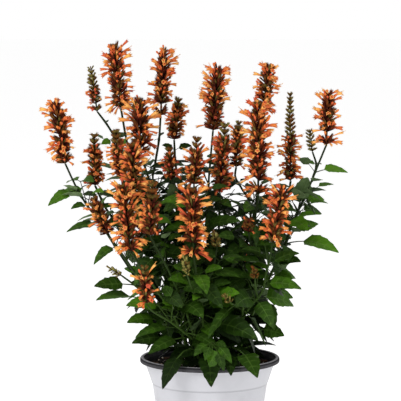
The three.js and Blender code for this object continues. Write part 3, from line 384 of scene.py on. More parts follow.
def blade_width(share):
    """The solids' outline of a leaf, scaled to be 1 where it is widest."""
    rounding, pointing, widest = 0.55, 0.85, 0.391
    return share ** rounding * (1 - share) ** pointing / widest


def ovate_width(share):
    """The finer outline of the shown leaves: widest nearer the base, like an egg."""
    rounding, pointing, widest = 0.36, 0.86, 0.4771
    return share ** rounding * (1 - share) ** pointing / widest


def roll_outwards(root, azimuth):
    """The roll in degrees that turns a blade's upper face out of the bush."""
    level = (-math.sin(azimuth * DEGREE), math.cos(azimuth * DEGREE), 0)
    outward = unit((root[0], root[1] - 1, 0))
    return -OUTWARD_ROLL * dot(outward, level)


class Leaf:
    def __init__(self, root, tip, blade_length, roll, lift=LEAF_LIFT):
        reach = distance(root, tip)
        self.root = root
        self.tip = tip
        self.reach = reach
        self.heading = unit((tip[0] - root[0], tip[1] - root[1], 0))
        self.level = unit(cross((0, 0, 1), self.heading))
        self.shoulder = add(between(root, tip, 0.5), (0, 0, 1), reach * lift)
        self.petiole = max(0.12, 1 - blade_length / reach)
        self.blade_length = blade_length
        self.half_width = blade_length * LEAF_WIDTH_RATIO
        self.roll = roll * DEGREE

    def arc_point(self, share):
        rest = 1 - share
        a, b, c = rest * rest, 2 * rest * share, share * share
        return tuple(self.root[axis] * a + self.shoulder[axis] * b + self.tip[axis] * c
                     for axis in range(3))

    def frame_at(self, share):
        first = add(self.shoulder, self.root, -1)
        second = add(self.tip, self.shoulder, -1)
        along = unit(between(first, second, share))
        lift = unit(cross(along, self.level))
        side = add(add((0, 0, 0), self.level, math.cos(self.roll)), lift, math.sin(self.roll))
        return side, unit(cross(along, side))

    def blade_share(self, share):
        return self.petiole + (1 - self.petiole) * share

    def blade_point(self, share, across):
        place = self.blade_share(share)
        side, up = self.frame_at(place)
        width = self.half_width * blade_width(share) * across
        edge = add(self.arc_point(place), side, width * math.cos(LEAF_FOLD))
        return add(edge, up, abs(width) * math.sin(LEAF_FOLD))

    def samples(self):
        stem_reach = 7
        blade_steps = max(2, math.ceil(self.blade_length / SAMPLE_STEP))
        side_steps = max(1, math.ceil(self.half_width / SAMPLE_STEP))
        petiole_steps = math.ceil(self.petiole * distance(self.root, self.tip) / SAMPLE_STEP)
        for step in range(1, petiole_steps):
            sample = self.arc_point(self.petiole * step / petiole_steps)
            if distance(sample, self.root) > stem_reach:
                yield sample
        for step in range(blade_steps + 1):
            for side in range(-side_steps, side_steps + 1):
                sample = self.blade_point(step / blade_steps, side / side_steps)
                if distance(sample, self.root) > stem_reach:
                    yield sample


def segment_distance(point, start, end):
    span = add(end, start, -1)
    share = clamp(dot(add(point, start, -1), span) / dot(span, span))
    return distance(point, between(start, end, share))


def is_in_bush(point):
    """The room that rule-placed leaves keep to: above the soil and the rim, within the bush."""
    near_rim, rim_clearance, soil_clearance = 70, 6, 5
    narrow_radius, wide_radius, widening = 78, 106, 0.5
    free_height = 300
    radius = math.hypot(point[0], point[1])
    floor = POT_HEIGHT + rim_clearance if radius > near_rim else SOIL_TOP + soil_clearance
    limit = min(wide_radius, narrow_radius + (point[2] - POT_HEIGHT) * widening)
    return point[2] > floor and (radius < limit or point[2] > free_height)


def leaf_size_at(height, bare):
    """Lengths of blade and petiole: a bract's on the bare part, else less the higher up."""
    if height > bare:
        return BRACT_SIZE
    full_height, least_fade = 230, 40
    (blade, petiole), (blade_loss, petiole_loss) = FULL_SIZE, HIGH_LOSS
    fade = clamp((height - full_height) / max(least_fade, bare - full_height))
    return blade - blade_loss * fade, petiole - petiole_loss * fade


class Room:
    """Sample points already taken, in a coarse box grid, to find the near ones quickly."""

    def __init__(self):
        self.cells = {}

    def cell_of(self, point):
        return tuple(math.floor(value / CLEAR_DISTANCE) for value in point)

    def take(self, point, owner):
        self.cells.setdefault(self.cell_of(point), []).append((point, owner))

    def is_free(self, point, owner, root, clear=CLEAR_DISTANCE):
        own_reach = 14
        cx, cy, cz = self.cell_of(point)
        for dx in (-1, 0, 1):
            for dy in (-1, 0, 1):
                for dz in (-1, 0, 1):
                    for other, holder in self.cells.get((cx + dx, cy + dy, cz + dz), ()):
                        skipped = holder == owner and distance(other, root) < own_reach
                        if not skipped and distance(other, point) < clear:
                            return False
        return True


class Node:
    def __init__(self, length, azimuth, root):
        self.length = length
        self.azimuth = azimuth
        self.root = root
        self.leaves = {}

    def face_of(self, azimuth):
        return whole((azimuth - self.azimuth) / 90) % 4


class Stalk:
    """A stem or a side branch, with its nodes from the lowest up."""

    def __init__(self, name, index, route, turn, bare, start, aimed, widths, parent=None):
        self.name = name
        self.index = index
        self.route = route
        self.bare = bare
        self.root_half_width, self.tip_half_width = widths
        self.parent = parent
        self.trace = Trace(route)
        self.draw = make_draw(index + 1)
        self.end_direction = self.trace.direction_at(self.trace.total)
        same_node, turn_range = 1, 24
        least_spacing, spacing_range = 0.9, 0.2
        nodes = []
        for height, x, y, z, blade_length, roll, *lift in aimed:
            length = self.trace.length_at_height(height)
            root = self.trace.point_at(length)
            azimuth = math.atan2(y - root[1], x - root[0]) / DEGREE
            near = [other for other in nodes if abs(other.length - length) < same_node]
            node = near[0] if near else Node(length, azimuth, root)
            if not near:
                nodes.append(node)
            node.leaves[node.face_of(azimuth)] = Leaf(root, (x, y, z), blade_length, roll, *lift)
        length = start
        while length < self.trace.total - HIGHEST_NODE_DROP:
            root = self.trace.point_at(length)
            turn += 90 + turn_range * (self.draw() - 0.5)
            if all(abs(other.length - length) > LEAST_NODE_GAP for other in nodes):
                nodes.append(Node(length, turn, root))
            spacing = BARE_SPACING if root[2] > bare else NODE_SPACING
            length += spacing * (least_spacing + spacing_range * self.draw())
        self.nodes = sorted(nodes, key=lambda node: node.length)

    def half_width_at(self, length):
        share = clamp(length / self.trace.total)
        return self.root_half_width + (self.tip_half_width - self.root_half_width) * share


class Head:
    """A flower head on the end of its stalk, with two unit vectors across its axis."""

    def __init__(self, row, index, stalks):
        (self.name, carrier, self.tip, self.reach, self.calyx, self.bloom, self.apart, self.green,
         self.warmth, self.side) = row
        self.index = index
        self.carrier = next(stalk for stalk in stalks if stalk.name == carrier)
        end = self.carrier.route[-1]
        self.axis = unit(add(self.tip, end, -1))
        self.carrier.end_direction = self.axis
        self.base = add(end, self.axis, HEAD_GAP)
        self.length = distance(self.base, self.tip)
        facing = 1.3
        seed_level = (math.cos(facing), math.sin(facing), 0)
        self.level = unit(add(seed_level, self.axis, -dot(seed_level, self.axis)))
        self.across = cross(self.axis, self.level)


class Layout:
    """The whole plant as lines, nodes and leaves: what grows where, before any mesh is made."""

    def __init__(self):
        stem_widths = (STEM_ROOT_HALF_WIDTH, STEM_TIP_HALF_WIDTH)
        branch_widths = (BRANCH_ROOT_HALF_WIDTH, BRANCH_TIP_HALF_WIDTH)
        start = LOWEST_NODE + SOIL_TOP - STEM_FOOT_Z
        self.stems = []
        for index, (name, turn, bare, route, aimed) in enumerate(STEMS):
            foot = (route[0][0], route[0][1], STEM_FOOT_Z)
            self.stems.append(Stalk(name, index, [foot, *route], turn, bare, start, aimed,
                                    stem_widths))
        self.branches = []
        for index, (name, stem, height, route) in enumerate(BRANCHES):
            parent = next(one for one in self.stems if one.name == stem)
            root = parent.trace.point_at(parent.trace.length_at_height(height))
            self.branches.append(Stalk(
                name, len(self.stems) + index, [root, *route], BRANCH_TURN * (index + 1),
                BRANCH_BARE_HEIGHT, BRANCH_LOWEST_NODE, [], branch_widths, parent))
        self.stalks = self.stems + self.branches
        self.heads = [Head(row, index, self.stalks) for index, row in enumerate(HEADS)]
        self.room = Room()
        self.claim_space()
        for stalk in self.stalks:
            self.grow_leaves(stalk)

    def claim_space(self):
        line_step = 4
        for stalk in self.stalks:
            length = 0
            while length <= stalk.trace.total:
                self.room.take(stalk.trace.point_at(length), stalk.index)
                length += line_step
        for stem in self.stems:
            for node in stem.nodes:
                for leaf in node.leaves.values():
                    self.claim_leaf(leaf)

    def claim_leaf(self, leaf):
        for sample in leaf.samples():
            self.room.take(sample, -1)

    def leaf_fits(self, leaf, owner, clear=CLEAR_DISTANCE, head_clear=3):
        margin = 10
        reach = distance(leaf.root, leaf.tip) + margin
        near = [head for head in self.heads
                if segment_distance(leaf.root, head.base, head.tip) < head.reach + reach]
        for sample in leaf.samples():
            for head in near:
                if segment_distance(sample, head.base, head.tip) <= head.reach + head_clear:
                    return False
            if not is_in_bush(sample) or not self.room.is_free(sample, owner, leaf.root, clear):
                return False
        return True

    def first_fit(self, root, azimuth, lean, roll, size, tries, owner, **clearances):
        """Claims and gives the first leaf with room, of those that the tries shrink, tilt and
        swing, or None."""
        blade_size, petiole_size = size
        for scale, tilt, swing in itertools.product(*tries):
            blade = blade_size * scale
            tip = tip_of(root, azimuth + swing, lean + tilt, blade + petiole_size)
            leaf = Leaf(root, tip, blade, roll)
            if self.leaf_fits(leaf, owner, **clearances):
                self.claim_leaf(leaf)
                return leaf
        return None

    def rule_leaf(self, root, azimuth, size, draw, owner):
        blade_size, petiole_size = size
        least_lean, lean_range = (-10, 40) if blade_size < BRACT_LENGTH else (-52, 44)
        roll_range = 44
        least_growth, growth_range = 0.88, 0.24
        tries = (1, 0.84, 0.68), (0, 20, -22), (0, 20, -20, 42, -42)
        lean = least_lean + lean_range * draw()
        roll = roll_outwards(root, azimuth) + roll_range * (draw() - 0.5)
        growth = least_growth + growth_range * draw()
        return self.first_fit(root, azimuth, lean, roll, (blade_size * growth, petiole_size),
                              tries, owner)

    def grow_leaves(self, stalk):
        for node in stalk.nodes:
            size = leaf_size_at(node.root[2], stalk.bare)
            for face in (0, 2):
                if face not in node.leaves:
                    leaf = self.rule_leaf(node.root, node.azimuth + 90 * face, size, stalk.draw,
                                          stalk.index)
                    if leaf:
                        node.leaves[face] = leaf


layout = Layout()


# Mesh helpers

def linear(code):
    """A colour written as sRGB hex, turned to the linear values that Blender works in."""
    channels = [int(code[start:start + 2], 16) / 255 for start in (1, 3, 5)]
    return (*(value / 12.92 if value <= 0.04045 else ((value + 0.055) / 1.055) ** 2.4
              for value in channels), 1.0)


def tube(bm, sides, steps, place):
    """A closed tube or turned form: place(turn, along) gives each point in millimetres."""
    made = bmesh.ops.create_grid(bm, x_segments=sides, y_segments=steps, size=0.5)["verts"]
    for vert in made:
        vert.co = Vector(place((vert.co.x + 0.5) % 1, vert.co.y + 0.5)) * MM
    return close_tube(bm, made)


def close_tube(bm, made):
    """Joins the seam of a rolled grid, closes its ends and turns its faces outwards."""
    weld = 1e-7
    bmesh.ops.remove_doubles(bm, verts=made, dist=weld)
    made = [vert for vert in made if vert.is_valid]
    edges = {edge for vert in made for edge in vert.link_edges if edge.is_boundary}
    if edges:
        bmesh.ops.holes_fill(bm, edges=list(edges), sides=0)
    faces = {face for vert in made for face in vert.link_faces}
    bmesh.ops.recalc_face_normals(bm, faces=list(faces))
    return made


def set_layers(bm, verts, **values):
    for name, value in values.items():
        layer = bm.verts.layers.float[name]
        for vert in verts:
            vert[layer] = value


def stamp(bm, template):
    """A copy of a small template mesh, added to bm. Gives the new points, which come last as
    long as nothing is ever deleted from bm."""
    start = len(bm.verts)
    bm.from_mesh(template)
    bm.verts.ensure_lookup_table()
    return bm.verts[start:]


def new_bmesh():
    """A bmesh with the layers that the materials of stems and heads read."""
    bm = bmesh.new()
    for name in ("across", "along", "tone"):
        bm.verts.layers.float.new(name)
    return bm


def join(bm, other):
    """Adds the other bmesh, whose tubes have had their seams merged, to the stamped shapes."""
    mesh = bpy.data.meshes.new("joining")
    other.to_mesh(mesh)
    other.free()
    bm.from_mesh(mesh)
    bpy.data.meshes.remove(mesh)


def put_piece(bm, name, materials, stands_for=None):
    """Makes the finished object, which rides on the plant's one body."""
    for face in bm.faces:
        face.smooth = True
    mesh = bpy.data.meshes.new(name)
    bm.to_mesh(mesh)
    bm.free()
    for material in materials:
        mesh.materials.append(material)
    piece = bpy.data.objects.new(name, mesh)
    bpy.context.scene.collection.objects.link(piece)
    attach(piece, "root")
    if stands_for:
        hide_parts(stands_for)
    return piece


# Materials

# The kinds of node that the materials are made of. A Mix node of colours takes the share at 0
# and the two colours at 6 and 7, and gives the mixed one at 2.
ATTRIBUTE = "ShaderNodeAttribute"
BUMP = "ShaderNodeBump"
COORDINATES = "ShaderNodeTexCoord"
MAPPING = "ShaderNodeMapping"
MATH = "ShaderNodeMath"
MIX = "ShaderNodeMix"
NOISE = "ShaderNodeTexNoise"
RAMP = "ShaderNodeValToRGB"
RANGE = "ShaderNodeMapRange"
SPLIT = "ShaderNodeSeparateXYZ"
VORONOI = "ShaderNodeTexVoronoi"


def new_material(name):
    """An empty material, the function that adds its nodes, and the place on the piece that its
    patterns follow."""
    material = bpy.data.materials.get(name) or bpy.data.materials.new(name)
    material.use_nodes = True
    material.node_tree.nodes.clear()
    node = functools.partial(add_node, material)
    return material, node, node(COORDINATES)["Object"]


def add_node(material, kind, inputs=None, stops=(), **settings):
    """Adds a node with its settings, its links and the stops of its ramp, and gives its outputs.
    An input, by name or number, is a plain value or another node's output."""
    node = material.node_tree.nodes.new(kind)
    for name, value in settings.items():
        setattr(node, name, value)
    for key, value in (inputs or {}).items():
        if isinstance(value, bpy.types.NodeSocket):
            material.node_tree.links.new(value, node.inputs[key])
        else:
            node.inputs[key].default_value = value
    for number, (position, colour) in enumerate(stops):
        elements = node.color_ramp.elements
        element = elements[number] if number < 2 else elements.new(position)
        element.position = position
        element.color = colour
    return node.outputs


def finish_material(material, colour, roughness, bump=None, bump_mm=0.2, **sockets):
    """The shader that every finish ends in, with a bump of bump_mm where one is given."""
    inputs = {"Base Color": colour, "Roughness": roughness}
    inputs.update({name.replace("_", " "): value for name, value in sockets.items()})
    if bump is not None:
        inputs["Normal"] = add_node(material, BUMP, {"Height": bump, "Distance": bump_mm * MM})[0]
    shader = add_node(material, "ShaderNodeBsdfPrincipled", inputs)
    add_node(material, "ShaderNodeOutputMaterial", {"Surface": shader[0]})
    return material


def white_polypropylene(look):
    """Polypropylene, thermoformed from sheet: satin, with faint drawn bands round it, a little
    soil dust in blotches, and a thin painted shadow line in the step under the collar."""
    material, node, place = new_material("white_polypropylene_thermoformed")
    band_mm, dust_mm = 9, 22
    drawn = node(MAPPING, {"Vector": place, "Scale": (0.15, 0.15, 1.0)})[0]
    bands = node(NOISE, {"Vector": drawn, "Scale": 1 / (band_mm * MM), "Detail": 4.0})[0]
    dust = node(NOISE, {"Vector": place, "Scale": 1 / (dust_mm * MM), "Detail": 6.0})[0]
    height = node(SPLIT, {0: place})[2]
    # A thin painted shadow line in the step under the collar, mixed in the dust colour.
    from_step = node(MATH, {0: height, 1: (STEP_Z - 0.3) * MM}, operation="SUBTRACT")[0]
    step_gap = node(MATH, {0: from_step}, operation="ABSOLUTE")[0]
    step_shadow_line = node(RANGE, {"Value": step_gap, "From Min": 0.5 * MM, "From Max": 1.5 * MM,
                             "To Min": 0.85, "To Max": 0.0})[0]
    blotches = node(RANGE, {"Value": dust, "From Min": 0.45, "From Max": 0.8, "To Max": 0.3},
                    interpolation_type="SMOOTHSTEP")[0]
    dust_and_step_shadow = node(MATH, {0: step_shadow_line, 1: blotches}, operation="MAXIMUM")[0]
    streaks = node(RANGE, {"Value": bands, "To Max": 0.14})[0]
    clean = node(MIX, {0: streaks, 6: look.wall_colour, 7: look.dust_and_shadow_colour}, data_type="RGBA")[2]
    colour = node(MIX, {0: dust_and_step_shadow, 6: clean, 7: look.dust_and_shadow_colour}, data_type="RGBA")[2]
    roughness = node(RANGE, {"Value": dust, "To Min": look.roughness - 0.05,
                             "To Max": look.roughness + 0.09})[0]
    return finish_material(material, colour, roughness, bands, 0.12, IOR=1.49)


def black_polypropylene(look):
    """The same sheet's inner layer, carbon black, which the rolled rim turns outwards: matt and
    lightly scuffed, with a painted highlight along the crest of the rim and a fainter painted
    highlight line across its outer face."""
    material, node, place = new_material("black_polypropylene_thermoformed")
    scuff_mm, grime_mm = 3, 14
    face_drop_mm = 4.1
    scuff_and_highlight_noise = node(NOISE, {"Vector": place, "Scale": 1 / (scuff_mm * MM), "Detail": 6.0})[0]
    grime = node(NOISE, {"Vector": place, "Scale": 1 / (grime_mm * MM), "Detail": 4.0})[0]
    height = node(SPLIT, {0: place})[2]
    # Painted highlights: a thin pale line on the crest of the rim and a fainter one across the
    # rim's outer face, broken up by noise.
    crest = node(RANGE, {"Value": height, "From Min": (POT_HEIGHT - 0.7) * MM,
                         "From Max": (POT_HEIGHT - 0.2) * MM}, interpolation_type="SMOOTHSTEP")[0]
    from_face = node(MATH, {0: height, 1: (POT_HEIGHT - face_drop_mm) * MM},
                     operation="SUBTRACT")[0]
    face_gap = node(MATH, {0: from_face}, operation="ABSOLUTE")[0]
    face_highlight_line = node(RANGE, {"Value": face_gap, "From Min": 1.2 * MM, "From Max": 2.6 * MM,
                              "To Min": 0.13, "To Max": 0.0})[0]
    painted_highlights = node(MATH, {0: crest, 1: face_highlight_line}, operation="MAXIMUM")[0]
    highlight_breakup = node(RANGE, {"Value": scuff_and_highlight_noise, "From Min": 0.25, "From Max": 0.6, "To Min": 0.5})[0]
    broken_highlights = node(MATH, {0: painted_highlights, 1: highlight_breakup}, operation="MULTIPLY")[0]
    dusty = node(RANGE, {"Value": grime, "From Min": 0.4, "From Max": 0.8, "To Max": 0.05})[0]
    dark = node(MIX, {0: dusty, 6: look.liner_colour, 7: look.dust_and_shadow_colour}, data_type="RGBA")[2]
    colour = node(MIX, {0: broken_highlights, 6: dark, 7: look.crest_highlight_colour}, data_type="RGBA")[2]
    return finish_material(material, colour, 0.75, scuff_and_highlight_noise, 0.08, Specular_IOR_Level=0.05)


def peat_mix(look):
    """Peat potting mix, coarse and damp: near black crumbs with browner fibre."""
    material, node, place = new_material("peat_potting_mix_damp")
    crumb_mm, patch_mm = 2.2, 12
    crumbs = node(NOISE, {"Vector": place, "Scale": 1 / (crumb_mm * MM), "Detail": 6.0})[0]
    patches = node(NOISE, {"Vector": place, "Scale": 1 / (patch_mm * MM), "Detail": 3.0})[0]
    fibrous = node(RANGE, {"Value": crumbs, "From Min": 0.45, "From Max": 0.75},
                   interpolation_type="SMOOTHSTEP")[0]
    damp = node(RANGE, {"Value": patches, "To Max": 0.6})[0]
    fibre = node(MIX, {0: fibrous, 6: look.soil_colour, 7: look.fibre_colour}, data_type="RGBA")[2]
    colour = node(MIX, {0: damp, 6: fibre, 7: look.soil_colour}, data_type="RGBA")[2]
    return finish_material(material, colour, 0.92, crumbs, 1.2, Specular_IOR_Level=0.1)


def bark_chips(look):
    """Composted pine bark, shredded: brown flakes, near black in the furrows of the grain."""
    material, node, place = new_material("pine_bark_shredded")
    grain_mm = 0.9
    along = node(MAPPING, {"Vector": place, "Scale": (1.0, 0.3, 1.0)})[0]
    grain = node(NOISE, {"Vector": along, "Scale": 1 / (grain_mm * MM), "Detail": 5.0})[0]
    tone = node(ATTRIBUTE, attribute_name="tone")["Fac"]
    furrow = node(RANGE, {"Value": grain, "From Min": 0.4, "From Max": 0.7},
                  interpolation_type="SMOOTHSTEP")[0]
    shade = node(MIX, {0: tone, 6: look.bark_colour, 7: look.fibre_colour}, data_type="RGBA")[2]
    colour = node(MIX, {0: furrow, 6: shade, 7: look.soil_colour}, data_type="RGBA")[2]
    return finish_material(material, colour, 0.85, grain, 0.4, Specular_IOR_Level=0.15)


def perlite_grains(look):
    """Perlite, expanded volcanic glass: chalky off-white grains, stained by the peat."""
    material, node, place = new_material("perlite_expanded")
    pore_mm = 0.8
    pores = node(NOISE, {"Vector": place, "Scale": 1 / (pore_mm * MM), "Detail": 4.0})[0]
    tone = node(ATTRIBUTE, attribute_name="tone")["Fac"]
    stain = node(RANGE, {"Value": tone, "To Max": 0.55})[0]
    colour = node(MIX, {0: stain, 6: look.perlite_colour, 7: look.bark_colour},
                  data_type="RGBA")[2]
    return finish_material(material, colour, 0.9, pores, 0.3)


def square_stem(look):
    """Living stem, square and ribbed: mid green low down, dark green near the heads."""
    material, node, place = new_material("agastache_stem_ribbed")
    streak_mm = 2.5
    height = node(SPLIT, {0: place})[2]
    tone = node(ATTRIBUTE, attribute_name="tone")["Fac"]
    rise = node(MATH, {0: tone, 1: 0.05, 2: height}, operation="MULTIPLY_ADD")[0]
    upper = node(RANGE, {"Value": rise, "From Min": 0.2, "From Max": 0.33},
                 interpolation_type="SMOOTHSTEP")[0]
    streaks = node(NOISE, {"Vector": place, "Scale": 1 / (streak_mm * MM), "Detail": 4.0})[0]
    streaked = node(RANGE, {"Value": streaks, "To Max": 0.5})[0]
    low = node(MIX, {0: streaked, 6: look.stem_colour, 7: look.leaf_colour}, data_type="RGBA")[2]
    colour = node(MIX, {0: upper, 6: low, 7: look.upper_stem_colour}, data_type="RGBA")[2]
    return finish_material(material, colour, 0.6, streaks, 0.25, Specular_IOR_Level=0.1)


def leaf_surface(name, shades, vein_colour, vein_share, roughness, relief):
    """One face of the leaf: a midrib, side veins that run to the teeth and a fine net between."""
    material, node, place = new_material(name)
    wobble_mm, net_mm, patch_mm = 4, 1.8, 9
    tone = node(ATTRIBUTE, attribute_name="tone")["Fac"]
    rows = node(ATTRIBUTE, attribute_name="along")["Fac"]
    side = node(ATTRIBUTE, attribute_name="across")["Fac"]
    across = node(MATH, {0: side}, operation="ABSOLUTE")[0]
    wobble = node(NOISE, {"Vector": place, "Scale": 1 / (wobble_mm * MM), "Detail": 2.0})[0]
    wavy = node(MATH, {0: wobble, 1: 0.06, 2: rows}, operation="MULTIPLY_ADD")[0]
    phase = node(MATH, {0: wavy, 1: 1.0}, operation="PINGPONG")[0]
    side_vein = node(RANGE, {"Value": phase, "From Min": 0.97, "From Max": 0.74, "To Min": 1.0,
                             "To Max": 0.0}, interpolation_type="SMOOTHSTEP")[0]
    fading = node(RANGE, {"Value": across, "To Min": 1.0, "To Max": 0.15})[0]
    faded = node(MATH, {0: side_vein, 1: fading}, operation="MULTIPLY")[0]
    midrib = node(RANGE, {"Value": across, "From Min": 0.02, "From Max": 0.1, "To Min": 1.0,
                          "To Max": 0.0}, interpolation_type="SMOOTHSTEP")[0]
    vein = node(MATH, {0: midrib, 1: faded}, operation="MAXIMUM")[0]
    net = node(VORONOI, {"Vector": place, "Scale": 1 / (net_mm * MM)},
               feature="DISTANCE_TO_EDGE")[0]
    patches = node(NOISE, {"Vector": place, "Scale": 1 / (patch_mm * MM), "Detail": 4.0})[0]
    mottle = node(RANGE, {"Value": patches, "From Min": 0.3, "From Max": 0.7, "To Min": -0.14,
                          "To Max": 0.14})[0]
    # The tone paints light and shade: it picks the blade's colour from painted shade deep in the
    # bush to painted light where the leaf stands out, and the veins show more on the lit leaves.
    shade = node(MATH, {0: tone, 1: mottle})[0]
    blade = node(RAMP, {0: shade}, list(zip((0.0, 0.5, 1.0), shades)))[0]
    contrast = node(MATH, {0: shade, 1: vein_share, 2: 0.1}, operation="MULTIPLY_ADD")[0]
    paled = node(MATH, {0: vein, 1: contrast}, operation="MULTIPLY", use_clamp=True)[0]
    colour = node(MIX, {0: paled, 6: blade, 7: vein_colour}, data_type="RGBA")[2]
    cells = node(RANGE, {"Value": net, "From Max": 0.25, "To Max": 0.35})[0]
    height = node(MATH, {0: vein, 1: relief, 2: cells}, operation="MULTIPLY_ADD")[0]
    return finish_material(material, colour, roughness, height, 0.3, Specular_IOR_Level=0.12)


def leaf_upper(look):
    """Upper face of the leaf: deep green, slightly waxy, quilted between sunken veins."""
    shades = (look.shade_leaf_colour, look.leaf_colour, look.lit_and_young_leaf_colour)
    return leaf_surface("agastache_leaf_upper", shades, look.vein_colour, 0.6, 0.46, -1.0)


def leaf_underside(look):
    """Underside of the leaf: paler, matt with fine down, the veins standing out."""
    shades = (look.shade_leaf_colour, look.under_colour, look.lit_and_young_under_colour)
    return leaf_surface("agastache_leaf_underside", shades, look.stem_colour, 0.5, 0.75, 1.0)


def calyx_skin(look):
    """Calyx, a ribbed downy tube: from maroon through rust to olive by age, with painted shade
    that darkens its foot deep in the head and a painted highlight on its paler teeth where they
    catch the light."""
    material, node, place = new_material("agastache_calyx_downy")
    rib_mm = 1.2
    tone = node(ATTRIBUTE, attribute_name="tone")["Fac"]
    along = node(ATTRIBUTE, attribute_name="along")["Fac"]
    ages = [(0.0, look.maroon_and_foot_shade_colour), (0.3, look.calyx_colour), (0.52, look.rust_colour),
            (0.76, look.olive_colour), (1.0, look.bud_green_colour)]
    aged = node(RAMP, {0: tone}, ages)[0]
    ribs = node(NOISE, {"Vector": place, "Scale": 1 / (rib_mm * MM), "Detail": 3.0})[0]
    # Painted highlight on the teeth, and painted shade that darkens the foot to maroon.
    teeth_highlight = node(RANGE, {"Value": along, "From Min": 0.55, "From Max": 1.0, "To Max": 0.4},
                   interpolation_type="SMOOTHSTEP")[0]
    deep = node(RANGE, {"Value": along, "From Max": 0.72, "To Min": 1.0, "To Max": 0.0})[0]
    foot = node(MIX, {0: deep, 6: aged, 7: look.maroon_and_foot_shade_colour}, data_type="RGBA")[2]
    colour = node(MIX, {0: teeth_highlight, 6: foot, 7: look.calyx_tip_colour}, data_type="RGBA")[2]
    return finish_material(material, colour, 0.75, ribs, 0.2, Specular_IOR_Level=0.06)


def corolla_skin(look):
    """Petal tissue, thin and satin: yellow-orange to coral by flower, redder down the tube, and
    coral inside the throat as painted shade.
    """
    material, node, place = new_material("agastache_corolla_petal")
    streak_mm = 1
    tone = node(ATTRIBUTE, attribute_name="tone")["Fac"]
    along = node(ATTRIBUTE, attribute_name="along")["Fac"]
    lip = node(RAMP, {0: tone}, [
        (0.0, look.coral_and_throat_shade_colour), (0.45, look.orange_colour), (1.0, look.yellow_colour)])[0]
    tube_colour = node(RAMP, {0: tone}, [
        (0.0, look.deep_colour), (0.6, look.coral_and_throat_shade_colour), (1.0, look.orange_colour)])[0]
    opening = node(RANGE, {"Value": along, "From Min": 0.2, "From Max": 0.8},
                   interpolation_type="SMOOTHSTEP")[0]
    outside = node(MIX, {0: opening, 6: tube_colour, 7: lip}, data_type="RGBA")[2]
    # Painted shade: the inside of the throat is mixed towards coral, darker than the lips.
    throat_shade = node(RANGE, {"Value": along, "From Min": 1.05, "From Max": 1.6, "To Max": 0.8})[0]
    colour = node(MIX, {0: throat_shade, 6: outside, 7: look.coral_and_throat_shade_colour}, data_type="RGBA")[2]
    streaks = node(NOISE, {"Vector": place, "Scale": 1 / (streak_mm * MM), "Detail": 3.0})[0]
    return finish_material(material, colour, 0.5, streaks, 0.12, Specular_IOR_Level=0.25)


def backlit_acrylic(look):
    """The studio's table, matt acrylic sheet lit from below: an even pale floor."""
    material, node, place = new_material("acrylic_sheet_backlit")
    patch_mm = 400
    patches = node(NOISE, {"Vector": place, "Scale": 1 / (patch_mm * MM)})[0]
    faint = node(RANGE, {"Value": patches, "To Max": 0.02})[0]
    colour = node(MIX, {0: faint, 6: look.floor_colour, 7: look.sky_colour}, data_type="RGBA")[2]
    return finish_material(material, colour, 0.9, Specular_IOR_Level=0.0,
                           Emission_Color=look.sky_colour, Emission_Strength=look.floor_glow)


# Small templates that are stamped many times

